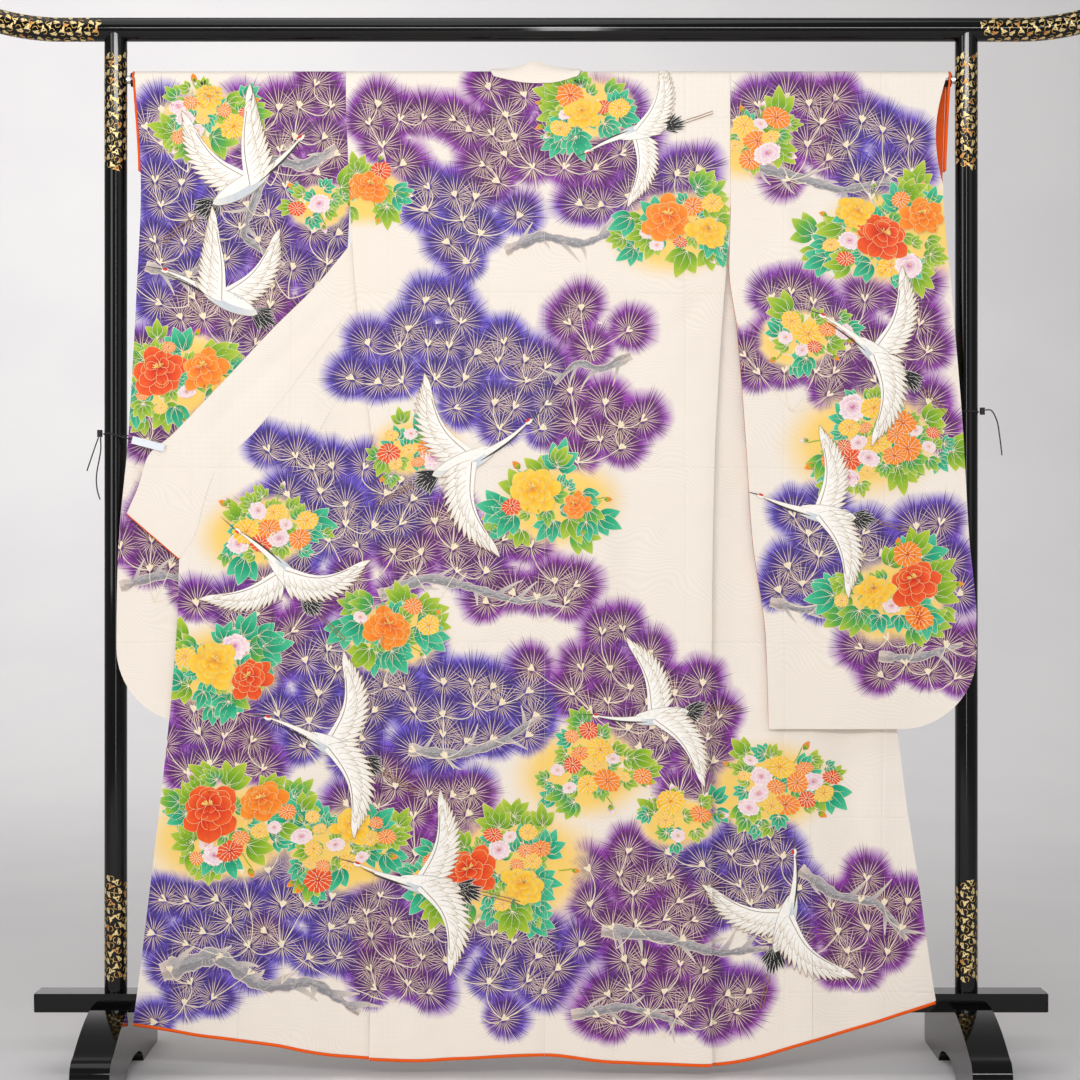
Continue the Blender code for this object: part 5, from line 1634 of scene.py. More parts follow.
@dataclass(frozen=True)
class Posy:
    """One cluster of flowers: where, how wide, its peonies, how full it is, its flatness and its tilt."""

    x: float
    z: float
    size: float
    peonies: tuple = ()
    first: int = 0
    fill: float = 0.85
    flat: float = 0.72
    tilt: float = 0.15

    def place(self, a: float, b: float) -> tuple[float, float]:
        """A point of the cluster's own long and short axes as x and z."""
        c, s = math.cos(self.tilt), math.sin(self.tilt)
        return self.x + a * c - b * s, self.z + a * s + b * c

    def spots(self, spacing: float, jitter: float, reach: float, rng: Random) -> list[tuple[float, float]]:
        """Jittered places on a six-sided grid within a share of the cluster's lobed outline.

        Args:
            spacing: How far apart they are.
            jitter: How far each may stray.
            reach: The share of the outline.
            rng: What the chances are drawn from.

        Returns:
            The places.
        """
        count = math.ceil(1.2 * self.size / spacing) + 1
        around = range(-count, count + 1)
        turn = 40.0 * self.x + 23.0 * self.z
        kept = []
        for i in around:
            for j in around:
                a = (j + 0.5 * (i % 2)) * spacing + rng.uniform(-jitter, jitter)
                b = i * spacing * 0.866 + rng.uniform(-jitter, jitter)
                lobe = 0.92 + 0.26 * math.sin(3.0 * math.atan2(b, a) + turn)
                if math.hypot(a / 1.15, b / self.flat) <= reach * self.size * lobe:
                    kept.append((a, b))
        return kept


@dataclass(frozen=True)
class Crane:
    """One flying crane: its place, heading and wings, in metres and radians."""

    x: float
    z: float
    heading: float
    scale: float = 1.0
    far_wing: float = 1.9
    far_bend: float = -0.5
    near_wing: float = -2.2
    near_bend: float = 0.5
    neck: float = 0.3
    flip: bool = False


@dataclass
class Design:
    """One painted design in the plane of the hung cloth."""

    clouds: tuple[Cloud, ...]
    posies: tuple[Posy, ...]
    cranes: tuple[Crane, ...]
    boughs: tuple
    seed: int
    tufts: "TuftField" = field(init=False)
    ink: Array = field(init=False)

    def __post_init__(self) -> None:
        """Place the tufts, then draw the stems and the motifs."""
        self.tufts = TuftField(self.clouds, self.posies, self.seed)
        painter = Painter(Ink(), self.seed)
        for points, width in self.boughs:
            painter.bough(points, width)
        self.tufts.draw_stems(painter)
        for draw, spots in ((painter.posy, self.posies), (painter.crane, self.cranes)):
            for spot in spots:
                draw(spot)
        self.ink = painter.ink.triangles()

    def turned(self, middle_x: float, seed: int) -> "Design":
        """The same kind of design for the other side of the cloth, mirrored in an upright line.

        Args:
            middle_x: Where the line is.
            seed: What its chances start from.

        Returns:
            The design.
        """

        def flip(x: float) -> float:
            """A place across the cloth, mirrored."""
            return 2.0 * middle_x - x

        def peonies(posy: Posy) -> tuple:
            """A cluster's peonies, mirrored."""
            return tuple((-dx, dz, radius, tone) for dx, dz, radius, tone in posy.peonies)

        return Design(
            tuple(replace(c, x=flip(c.x), hue=1.0 - c.hue) for c in self.clouds),
            tuple(
                replace(p, x=flip(p.x), peonies=peonies(p), first=p.first + 1, tilt=-p.tilt)
                for p in self.posies
            ),
            tuple(replace(c, x=flip(c.x), heading=math.pi - c.heading, flip=not c.flip) for c in self.cranes),
            tuple(([(flip(x), z) for x, z in points], width) for points, width in self.boughs),
            seed,
        )


class TuftField:
    """The pine tufts of a design: where each is, which way it fans, its random number and its hue."""

    def __init__(self, clouds: Sequence[Cloud], posies: Sequence[Posy], seed: int) -> None:
        """Fill each cloud with tufts on a jittered six-sided grid, none too near another.

        Args:
            clouds: The clouds.
            posies: The clusters of flowers.
            seed: What the chances start from.
        """
        rng = np.random.default_rng(seed * 7 + 3)
        centres, hues, headings, self.parents = [], [], [], []
        self.posies = posies
        for cloud in clouds:
            root = (cloud.x + rng.uniform(-0.3, 0.3) * cloud.wide, cloud.z - 1.05 * cloud.high)
            rows = math.ceil(cloud.high / (TUFT_SPACING * 0.866)) + 1
            cols = math.ceil(cloud.wide / TUFT_SPACING) + 1
            spots = []
            for i in range(-rows, rows + 1):
                for j in range(-cols, cols + 1):
                    x = (j + 0.5 * (i % 2)) * TUFT_SPACING + rng.uniform(-0.014, 0.014)
                    z = i * TUFT_SPACING * 0.866 + rng.uniform(-0.014, 0.014)
                    lobe = 0.97 + 0.22 * math.sin(3.0 * math.atan2(z, x) + 9.0 * cloud.x + 5.0 * cloud.z)
                    if math.hypot(x / cloud.wide, z / cloud.high) <= lobe:
                        spots.append((cloud.x + x, cloud.z + z))
            spots.sort(key=lambda p: math.dist(p, root))
            first = len(centres)
            for place in spots:
                if any(math.dist(place, other) < TUFT_GAP for other in centres):
                    continue
                nearer = [c for c in centres[first:] if math.dist(c, root) < math.dist(place, root) - 0.018]
                parent = min(nearer, key=lambda c: math.dist(c, place), default=root)
                self.parents.append(parent if math.dist(parent, place) < 0.13 else root)
                centres.append(place)
                heading = math.atan2(place[1] - root[1] + 0.02, place[0] - root[0])
                headings.append(heading + rng.uniform(-0.3, 0.3))
                hues.append(float(np.clip(cloud.hue + rng.uniform(-0.12, 0.12), 0.0, 1.0)))
        self.centres, self.hues, self.headings = np.array(centres), np.array(hues), np.array(headings)
        self.seeds = rng.uniform(0.0, 40.0, len(centres)).astype(np.float32)

    def glow(self, points: Array) -> Array:
        """How strongly the ground glows yellow round the flowers, 0 to 1.

        Args:
            points: The places.

        Returns:
            The strength at each.
        """
        total = np.zeros(len(points))
        for posy in self.posies:
            c, s, lean = math.cos(posy.tilt), math.sin(posy.tilt), 1.9 * posy.first
            dx = points[:, 0] - posy.x - 0.22 * posy.size * math.cos(lean)
            dz = points[:, 1] - posy.z + 0.22 * posy.size * abs(math.sin(lean))
            away = np.hypot((dx * c + dz * s) / 1.45, (dz * c - dx * s) / (posy.flat * 1.40)) / posy.size
            total = np.maximum(total, 1.0 - smoothstep(0.55, 1.10, away))
        return total

    def draw_stems(self, painter: Painter) -> None:
        """Draw the pale stems that rise in curves to the tufts, and a bud of two or three scales on each.

        Args:
            painter: What draws them.
        """
        ink, rng = painter.ink, painter.random
        ink.at(0.0, 0.0)
        for centre, parent, heading in zip(self.centres, self.parents, self.headings):
            way = heading_vector(heading)
            start = np.array(parent)
            bend = centre - way * 0.60 * math.dist(centre, start)
            ink.arc(start, bend, centre, (0.0020, 0.0010), PALE_STEM, 3)
            for turn in (-0.38, 0.38, 0.0)[: int(rng.integers(2, 4))]:
                size = rng.uniform(0.0105, 0.0150)
                ink.blade(centre - 0.003 * way, heading + turn, size, 0.0046, Form.SPOON, (CREAM_LINE,), 4)


P = Tone
BODY_DESIGN = Design(
    clouds=(
        Cloud(-0.03, 1.565, 0.165, 0.087, 0.85), Cloud(0.13, 1.5, 0.154, 0.075, 0.55),
        Cloud(-0.13, 1.43, 0.121, 0.064, 0.15), Cloud(-0.24, 1.59, 0.066, 0.07, 0.9),
        Cloud(-0.2, 1.205, 0.121, 0.099, 0.1), Cloud(-0.06, 1.15, 0.132, 0.087, 0.25),
        Cloud(0.07, 1.09, 0.11, 0.087, 0.85), Cloud(0.1, 1.245, 0.077, 0.052, 0.9),
        Cloud(-0.36, 0.96, 0.143, 0.099, 0.1), Cloud(-0.2, 0.88, 0.143, 0.093, 0.75),
        Cloud(-0.03, 0.83, 0.11, 0.07, 0.9), Cloud(-0.48, 0.775, 0.11, 0.099, 0.7),
        Cloud(-0.36, 0.64, 0.143, 0.11, 0.2), Cloud(-0.52, 0.56, 0.11, 0.093, 0.75),
        Cloud(-0.15, 0.61, 0.132, 0.093, 0.1), Cloud(0.1, 0.65, 0.132, 0.081, 0.85),
        Cloud(0.22, 0.56, 0.099, 0.093, 0.8), Cloud(-0.22, 0.44, 0.132, 0.081, 0.85),
        Cloud(-0.48, 0.29, 0.165, 0.128, 0.15), Cloud(-0.27, 0.23, 0.165, 0.099, 0.65),
        Cloud(-0.58, 0.165, 0.099, 0.07, 0.1), Cloud(-0.06, 0.19, 0.132, 0.087, 0.35),
        Cloud(0.14, 0.3, 0.143, 0.081, 0.85), Cloud(0.33, 0.32, 0.143, 0.087, 0.3),
        Cloud(0.5, 0.245, 0.121, 0.099, 0.9), Cloud(0.2, 0.14, 0.143, 0.07, 0.8),
    ),
    posies=(
        Posy(0.07, 1.61, 0.062, ((0.0, -0.006, 0.03, P.YELLOW),)),
        Posy(0.24, 1.42, 0.08, ((-0.03, 0.006, 0.042, P.ORANGE), (0.036, -0.014, 0.032, P.YELLOW)), 2),
        Posy(-0.285, 1.48, 0.055, ((0.0, 0.0, 0.032, P.ORANGE),), 1),
        Posy(0.015, 0.96, 0.078, ((-0.026, 0.01, 0.042, P.YELLOW), (0.044, -0.012, 0.026, P.ORANGE)), 3, 0.6),
        Posy(-0.225, 1.045, 0.058),
        Posy(-0.455, 0.915, 0.075, (), 2),
        Posy(-0.545, 0.68, 0.08, ((0.0, 0.004, 0.042, P.YELLOW), (0.062, -0.02, 0.036, P.RED)), 0, 0.6),
        Posy(-0.255, 0.745, 0.07, ((0.0, 0.0, 0.04, P.ORANGE),), 4),
        Posy(-0.52, 0.425, 0.1, ((-0.03, 0.018, 0.052, P.RED), (0.058, 0.032, 0.04, P.ORANGE)), 1),
        Posy(-0.345, 0.385, 0.085, ((0.03, 0.03, 0.034, P.YELLOW),), 3),
        Posy(0.085, 0.52, 0.085, (), 2),
        Posy(-0.075, 0.345, 0.11, ((-0.04, -0.006, 0.046, P.RED), (0.045, -0.028, 0.038, P.YELLOW)), 0),
        Posy(0.39, 0.48, 0.082, (), 5),
        Posy(0.235, 0.43, 0.052, (), 2),
    ),
    cranes=(
        Crane(0.17, 1.575, 3.3, 0.95, 1.6, -0.5, -2.4, 0.5, 0.25),
        Crane(-0.13, 1.02, 0.35, 1.25, 2.1, -0.6, -2.0, 0.6, 0.3),
        Crane(-0.42, 0.83, 2.2, 1.1, 1.5, -0.4, -2.5, 0.7, 0.25),
        Crane(-0.34, 0.545, 2.75, 1.2, 1.7, -0.6, -2.6, 0.6, -0.2, True),
        Crane(-0.185, 0.32, 3.05, 1.2, 2.0, -0.5, -2.4, 0.7, 0.2, True),
        Crane(0.2, 0.6, 3.35, 1.05, 1.7, -0.4, -2.3, 0.5, 0.3, True),
        Crane(0.405, 0.255, 1.2, 1.15, 1.9, -0.5, -2.3, 0.6, 0.35),
    ),
    boughs=(
        (((-0.06, 1.375), (0.0, 1.4), (0.07, 1.385), (0.13, 1.41), (0.2, 1.37)), 0.016),
        (((0.15, 1.2), (0.1, 1.175), (0.06, 1.19), (0.02, 1.15)), 0.012),
        (((-0.27, 0.8), (-0.19, 0.83), (-0.12, 0.815), (-0.04, 0.79), (0.03, 0.8)), 0.016),
        (((-0.22, 0.545), (-0.14, 0.535), (-0.07, 0.555), (0.0, 0.6)), 0.015),
        (((-0.63, 0.175), (-0.54, 0.205), (-0.46, 0.15), (-0.38, 0.16), (-0.3, 0.105)), 0.026),
        (((0.1, 0.245), (0.2, 0.235), (0.3, 0.205), (0.38, 0.215)), 0.018),
        (((0.43, 0.345), (0.49, 0.3), (0.56, 0.29), (0.61, 0.225)), 0.016),
        (((0.05, 0.105), (0.14, 0.12), (0.24, 0.09)), 0.014),
    ),
    seed=11,
)
LEFT_SLEEVE_DESIGN = Design(
    clouds=(
        Cloud(-0.42, 1.575, 0.121, 0.087, 0.85), Cloud(-0.6, 1.58, 0.077, 0.07, 0.2),
        Cloud(-0.6, 1.4, 0.099, 0.11, 0.1), Cloud(-0.43, 1.4, 0.11, 0.099, 0.35),
        Cloud(-0.56, 1.25, 0.11, 0.087, 0.65), Cloud(-0.44, 1.27, 0.088, 0.07, 0.9),
        Cloud(-0.62, 1.13, 0.077, 0.093, 0.9), Cloud(-0.64, 0.88, 0.088, 0.087, 0.8),
    ),
    posies=(
        Posy(-0.56, 1.6, 0.07, (), 1),
        Posy(-0.615, 1.165, 0.085, ((-0.02, 0.006, 0.046, P.RED), (0.052, 0.01, 0.038, P.ORANGE))),
        Posy(-0.375, 1.455, 0.045, (), 3),
    ),
    cranes=(
        Crane(-0.5, 1.48, 0.5, 1.25, 2.15, -0.5, 1.25, -0.3, 0.25),
        Crane(-0.52, 1.29, 2.75, 1.15, 2.2, -0.5, 1.2, -0.2, -0.15, True),
    ),
    boughs=(
        (((-0.34, 1.545), (-0.4, 1.515), (-0.45, 1.53), (-0.5, 1.4), (-0.43, 1.35)), 0.015),
        (((-0.66, 1.35), (-0.6, 1.33), (-0.55, 1.36)), 0.014),
        (((-0.7, 0.815), (-0.63, 0.835), (-0.57, 0.82)), 0.015),
    ),
    seed=23,
)
RIGHT_SLEEVE_DESIGN = Design(
    clouds=(
        Cloud(0.42, 1.58, 0.11, 0.087, 0.85), Cloud(0.56, 1.545, 0.099, 0.087, 0.2),
        Cloud(0.42, 1.21, 0.099, 0.099, 0.8), Cloud(0.57, 1.245, 0.121, 0.075, 0.85),
        Cloud(0.63, 1.12, 0.088, 0.07, 0.75), Cloud(0.47, 0.86, 0.11, 0.087, 0.1),
        Cloud(0.62, 0.845, 0.099, 0.081, 0.3), Cloud(0.63, 0.715, 0.11, 0.07, 0.9),
    ),
    posies=(
        Posy(0.355, 1.56, 0.058, (), 1),
        Posy(0.575, 1.4, 0.098, ((-0.008, -0.004, 0.05, P.RED), (0.06, 0.03, 0.034, P.ORANGE),
                                   (-0.05, 0.036, 0.034, P.YELLOW)), 0, 0.5),
        Posy(0.44, 1.235, 0.06, (), 2),
        Posy(0.56, 1.06, 0.1, (), 5),
        Posy(0.59, 0.81, 0.085, ((0.03, 0.01, 0.044, P.RED), (-0.036, -0.004, 0.034, P.YELLOW)), 1),
    ),
    cranes=(
        Crane(0.565, 1.195, 2.55, 1.15, 1.6, -0.5, -2.5, 0.6, -0.2, True),
        Crane(0.475, 0.935, 3.05, 1.1, 1.8, -0.5, -2.3, 0.5, 0.2, True),
    ),
    boughs=(
        (((0.34, 1.52), (0.42, 1.5), (0.5, 1.475), (0.58, 1.49), (0.64, 1.46)), 0.015),
        (((0.56, 0.7), (0.62, 0.695), (0.7, 0.72)), 0.014),
        (((0.38, 0.79), (0.44, 0.775), (0.5, 0.79)), 0.013),
    ),
    seed=37,
)


def designs() -> dict[Group, Design]:
    """The design on each stretch of cloth; the hidden sides carry like ones of their own."""
    return {
        Group.BODY: BODY_DESIGN,
        Group.LEFT_SLEEVE: LEFT_SLEEVE_DESIGN,
        Group.RIGHT_SLEEVE: RIGHT_SLEEVE_DESIGN,
        Group.LEFT_FAR: LEFT_SLEEVE_DESIGN.turned(-0.51, 41),
        Group.RIGHT_FAR: RIGHT_SLEEVE_DESIGN.turned(0.52, 43),
        Group.INNER: BODY_DESIGN.turned(0.0, 47),
    }


# The garment


class Garment:
    """The furisode: every piece of its cloth, the design on it and its trim."""

    ARC = np.radians(np.arange(0.0, 90.0, 15.0))[:, None]
    CUTS = {
        "back": (0.33, 1.655, 0.476), "inner": (0.26, 1.655, 0.131), "front": (0.245, 1.64, 0.245),
        "okumi": (0.18, 1.46, 0.176), "collar": (0.114, 0.96, 0.066), "sleeve": (0.385, 1.11, 0.388),
        "neck": (0.20, 0.030, 0.0058),
    }

    def __init__(self, materials: Materials) -> None:
        """Keep the materials and work out the designs.

        Args:
            materials: The scene's materials.
        """
        self.materials = materials
        self.designs = designs()
        self.pieces: dict[str, bpy.types.Object] = {}

    def build(self) -> None:
        """Build every piece with its painting, then the lining that shows."""
        for side in Side:
            for make in (self.back, self.inner_front, self.open_front, self.okumi, self.collar):
                make(side)
            for near in (True, False):
                self.sleeve(side, near)
        self.collar_at_neck()
        self.hem_linings()
        for side in Side:
            self.cuff_lining(side)
            self.piping(side)

    def add(self, panel: Panel) -> None:
        """Build a piece and lay its stretch of the design on it.

        Args:
            panel: The piece.
        """
        design = self.designs.get(panel.group)
        self.pieces[panel.name] = panel.build(self.materials, design.tufts if design else None)
        painting = panel.lay(design, self.materials.ink) if design else None
        if painting:
            self.attach(panel.name, painting)

    def attach(self, piece: str, extra: Piece) -> None:
        """Let a separate thing on a piece of cloth go with it.

        Args:
            piece: The cloth's CAD node.
            extra: The thing that goes with it.
        """
        sheet = self.pieces[piece]
        extra.parent = sheet
        extra.matrix_parent_inverse = sheet.matrix_world.inverted()

    def hang(
        self, name: str, side: Side, cut: str, group: Group, rows: Array, part: Array, span: Sequence,
        depth: Field, **rest: object,
    ) -> None:
        """Add a piece that spans between two edges on each of its rows.

        Args:
            name: Its CAD node.
            side: The side it is on.
            cut: The name of its cut.
            group: Whose design it carries.
            rows: The height of each row below the rod, as a column.
            part: The share of the way from the inner to the outer edge, as a row.
            span: Its inner and outer edge, as functions of the row's height.
            depth: How far back it lies, as a function of x and the row's height.
            rest: What else the panel needs; arc is the number of rows that first bend over the rod.
        """
        arc = rest.pop("arc", 0)
        rest.setdefault("limits", span)
        key = np.concatenate([np.full((arc, 1), ROD_Z), rows])
        inner, outer = (edge(key) for edge in span)
        x = side.value * (inner + (outer - inner) * part)
        z = key + 0.0 * x
        y = depth(x, z)
        if rest.get("hem", True):
            z = z + hem_lift(x, z)
        if arc:
            y[:arc], z[:arc] = over_rod(self.ARC + 0.0 * x[:arc], -1.0 if rest.get("near", True) else 1.0)
        self.add(Panel(name, side, np.stack([x, y, z], 2), self.CUTS[cut], group, depth=depth, **rest))

    def back(self, side: Side) -> None:
        """One back panel, from the shoulder line on the rod to the hem, cut out at the neck.

        Args:
            side: The side it is on.
        """
        sign, table = float(side.value), BODY[side]
        centre = CENTRE_SEAM_X + sign * SEAM / 2
        shoulder = sign * table["side"][0]
        neck_part = ((NECK_LEFT_X if side is Side.LEFT else NECK_RIGHT_X) - centre) / (shoulder - centre)
        count = round(abs(shoulder - centre) / CELL)
        bend = 1.0 - (1.0 - np.linspace(0.0, 1.0, max(8, round(count * neck_part)) + 1)) ** 1.5
        rest = np.linspace(neck_part, 1.0, round(count * (1.0 - neck_part)) + 1)[1:]
        part = np.concatenate([neck_part * bend, rest])[None, :]
        distance = np.concatenate([self.ARC[:, 0] * FOLD_RADIUS, QUARTER + spaced(0.0, ROD_Z)])[:, None]
        edge = sign * (read(table, "side", ROD_Z - np.maximum(distance - QUARTER, 0.0)) - SEAM / 2)
        x = centre + (edge - centre) * part
        middle_x, half = (NECK_LEFT_X + NECK_RIGHT_X) / 2, (NECK_RIGHT_X - NECK_LEFT_X) / 2
        deepest = QUARTER + ROD_Z - float(NECK["seam_z"].min()) + SEAM
        start = deepest * np.clip(1.0 - ((x - middle_x) / half) ** 2, 0.0, 1.0) ** 0.8
        blend = QUARTER + ROD_Z - NECK_BLEND_Z
        travelled = np.where(distance < blend, start + distance * (blend - start) / blend, distance)
        rod_y, rod_z = over_rod(np.minimum(travelled / FOLD_RADIUS, math.pi / 2), -1.0)
        row = ROD_Z - np.maximum(travelled - QUARTER, 0.0)

        def depth(px: Array, pz: Array) -> Array:
            """How far back the panel lies, dipped at its seams."""
            seam = sign * read(table, "side", pz)
            dip = np.exp(-np.abs(px - CENTRE_SEAM_X) / SEAM_REACH) + np.exp(-np.abs(px - seam) / SEAM_REACH)
            return layer_depth("back", px, pz) + SEAM_DIP * (pz < ROD_Z - 0.03) * dip

        y = np.where(travelled < QUARTER, rod_y, depth(x, row))
        z = np.where(travelled < QUARTER, rod_z, row + hem_lift(x, row))
        limits = (lambda pz: sign * centre), (lambda pz: read(table, "side", pz) - SEAM / 2)
        middle = np.stack([x, y, z], 2)
        name, cut = f"back_{side.word}", self.CUTS["back"]
        self.add(Panel(name, side, middle, cut, Group.BODY, depth=depth, limits=limits))

    def inner_front(self, side: Side) -> None:
        """The part of a front that hangs behind the back, from the shoulder to its fold line.

        Args:
            side: The side it is on.
        """
        table = BODY[side]

        def outer(z: Array) -> Array:
            """The side seam."""
            return read(table, "side", z) - SEAM / 2

        def depth(x: Array, z: Array) -> Array:
            """How far back the panel lies, drawn up to the back at the side seam."""
            y = layer_depth("inner_front", x, z)
            sewn = 1.0 - smoothstep(SIDE_SEAM_TOP_Z - 0.03, SIDE_SEAM_TOP_Z, z)
            seam_y = layer_depth("back", x, z) + LAYER_GAP + SEAM
            return y + (seam_y - y) * sewn * np.exp(-np.abs(x - side.value * outer(z)) / 0.012)

        rows = spaced(ROD_Z, 0.0)[:, None]
        span = (lambda z: read(table, "fold", z)), outer
        part = np.linspace(0.0, 1.0, 20)
        rest = {"near": False, "top": 1.660, "arc": len(self.ARC)}
        self.hang(f"front_{side.word}_inner", side, "inner", Group.INNER, rows, part, span, depth, **rest)

    def open_front(self, side: Side) -> None:
        """The part of a front that opens out to the side, from its fold line to the okumi seam.

        Args:
            side: The side it is on.
        """
        table = BODY[side]

        def outer(z: Array) -> Array:
            """The seam to the collar or to the okumi."""
            okumi = read(table, "okumi", z)
            return np.where(z >= POINT_Z, read(COLLAR[side], "seam", z), okumi) - SEAM / 2

        def depth(x: Array, z: Array) -> Array:
            """How far back the panel lies, from its fold outwards."""
            folded = layer_depth("inner_front", x, z) + LAYER_GAP + SEAM
            y = open_depth(side, x, z)
            return y + (folded - y) * np.exp(-np.abs(x - side.value * read(table, "fold", z)) / 0.008)

        span = (lambda z: read(table, "fold", z)), outer
        limits = (lambda z: read(table, "side", z) - 0.012), outer
        rows = spaced(FRONT_TOP_Z, 0.0)[:, None]
        part = np.concatenate([[0.0, 0.03, 0.07], np.linspace(0.12, 1.0, 27)])
        name = f"front_{side.word}"
        self.hang(name, side, "front", Group.BODY, rows, part, span, depth, limits=limits, top=1.33)

    def okumi(self, side: Side) -> None:
        """The narrow overlap panel between the front and the collar or the front edge.

        Args:
            side: The side it is on.
        """

        def outer(z: Array) -> Array:
            """The collar's seam, then the front edge."""
            seam = read(COLLAR[side], "seam", z) - SEAM / 2
            return np.where(z >= COLLAR_END_Z, seam, read(FRONT_EDGE[side], "x", z))

        def depth(x: Array, z: Array) -> Array:
            """How far back the panel lies."""
            return open_depth(side, x, z)

        span = (lambda z: read(BODY[side], "okumi", z) + SEAM / 2), outer
        rows, part = spaced(ATTACH_Z, 0.0)[:, None], np.linspace(0.0, 1.0, 24)
        self.hang(f"okumi_{side.word}", side, "okumi", Group.BODY, rows, part, span, depth, top=ATTACH_Z)

    def collar(self, side: Side) -> None:
        """The collar along an opened front, from the neck to its end.

        Args:
            side: The side it is on.
        """
        table, sign = COLLAR[side], float(side.value)
        z = spaced(COLLAR_TOP_Z, COLLAR_END_Z, 0.0065)[:, None]
        part = np.linspace(0.0, 1.0, 13)
        seam_x = sign * (read(table, "seam", z) + SEAM / 2)
        x = seam_x + (sign * read(table, "edge", z) - seam_x) * part
        height = z + (read(table, "edge_z", z) - z) * part
        middle = np.stack([x, open_depth(side, x, height), height], 2)
        self.add(Panel(f"collar_{side.word}", side, middle, self.CUTS["collar"], inside="lining"))

    def collar_at_neck(self) -> None:
        """The collar round the neck: it stands on the back's seam and turns over the rod at each end."""
        stations = []
        turns = np.radians([80.0, 55.0, 30.0, 5.0])
        for side, order in ((Side.LEFT, turns), (Side.RIGHT, turns[::-1])):
            seam_x = (NECK_LEFT_X if side is Side.LEFT else NECK_RIGHT_X) - side.value * 0.002
            for turn in order:
                y, z = COLLAR_FOLD_RADIUS * math.sin(turn), ROD_Z + COLLAR_FOLD_RADIUS * math.cos(turn)
                stations.append([(seam_x - side.value * NECK_TURN_WIDTH * p, y, z) for p in (0.0, 0.5, 1.0)])
            if side is Side.LEFT:
                for sx, sy, sz, tx, ty, tz in zip(*NECK.values()):
                    mid = ((sx + tx) / 2, (sy + ty) / 2 - 0.0022, (sz + tz) / 2 + 0.0008)
                    stations.append([(sx, sy, sz), mid, (tx, ty, tz)])
        rough = np.array(stations)
        at = np.arange(len(rough), dtype=float)
        fine = np.linspace(0.0, len(rough) - 1.0, 6 * len(rough))
        along = np.stack([[monotone(at, rough[:, j, k], fine) for k in range(3)] for j in range(3)])
        t = np.linspace(0.0, 1.0, 9)
        weights = np.stack([(1 - t) * (1 - 2 * t), 4 * t * (1 - t), t * (2 * t - 1)])
        middle = np.einsum("jkn,jm->nmk", along, weights)
        self.add(Panel("collar_neck", Side.RIGHT, middle, self.CUTS["neck"], inside="silk", held="folded"))

    def sleeve(self, side: Side, near: bool) -> None:
        """One layer of a sleeve, folded over the rod at the shoulder.

        Args:
            side: The side it is on.
            near: Whether it is the layer nearer the viewer.
        """
        bottom, arc = SLEEVE_BOTTOM[side], len(self.ARC)
        corner = bottom + CORNER_RADIUS * (1.0 - np.sin(np.linspace(0.0, math.pi / 2, 22)[1:]))
        rows = np.concatenate([spaced(ROD_Z, bottom + CORNER_RADIUS), corner])[:, None]
        lip = np.concatenate([np.full((arc, 1), SLEEVE_TOP_Z), rows])

        def inner(z: Array) -> Array:
            """The seam at the body."""
            return sleeve_inner(side, z)

        def depth(x: Array, z: Array) -> Array:
            """How far back this layer lies."""
            return sleeve_depth(side, near, x, z)

        groups = (Group.LEFT_SLEEVE, Group.RIGHT_SLEEVE) if near else (Group.LEFT_FAR, Group.RIGHT_FAR)
        span = inner, (lambda z: sleeve_outer(side, near, lip))
        limits = inner, (lambda z: sleeve_outer(side, near, z))
        name = f"sleeve_{side.word}_{'back' if near else 'front'}"
        self.hang(
            name, side, "sleeve", groups[side is Side.RIGHT], rows, np.linspace(0.0, 1.0, 52), span, depth,
            arc=arc, near=near, inside="lining", limits=limits, hem=False, floor=bottom,
        )

    def hem_linings(self) -> None:
        """The lining rolls below the hem."""
        for name, side, start, end, owner in (
            ("hem_lining_left", Side.LEFT, -0.6755, -0.286, "front_left"),
            ("hem_lining_back_left", None, -0.284, CENTRE_SEAM_X - 0.0005, "back_left"),
            ("hem_lining_back_right", None, CENTRE_SEAM_X + 0.0005, 0.283, "back_right"),
            ("hem_lining_right", Side.RIGHT, 0.285, 0.655, "front_right"),
        ):
            x = spaced(start, end, 0.006)
            depth = open_depth(side, x, 0.0 * x) if side else layer_depth("back", x, 0.0 * x)
            path = np.stack([x, depth, read(HEM, "z", x, "x") - 0.0030], 1)
            roll = sweep(f"{name}_roll", path, 0.0026, 12, self.materials.lining)
            self.attach(owner, settle(roll, name))

    def piping(self, side: Side) -> None:
        """The line of lining along the lower end of a collar.

        Args:
            side: The side it is on.
        """
        table = COLLAR[side]
        keys = ("seam", "z"), ("edge", "edge_z")
        path = np.linspace(*((side.value * table[x][-1], 0.0, table[z][-1] - 0.0012) for x, z in keys), 14)
        path[:, 1] = open_depth(side, path[:, 0], path[:, 2]) - 0.0002
        piping = sweep(f"collar_{side.word}_piping", path, 0.0011, 8, self.materials.lining)
        self.attach(f"collar_{side.word}", settle(piping))

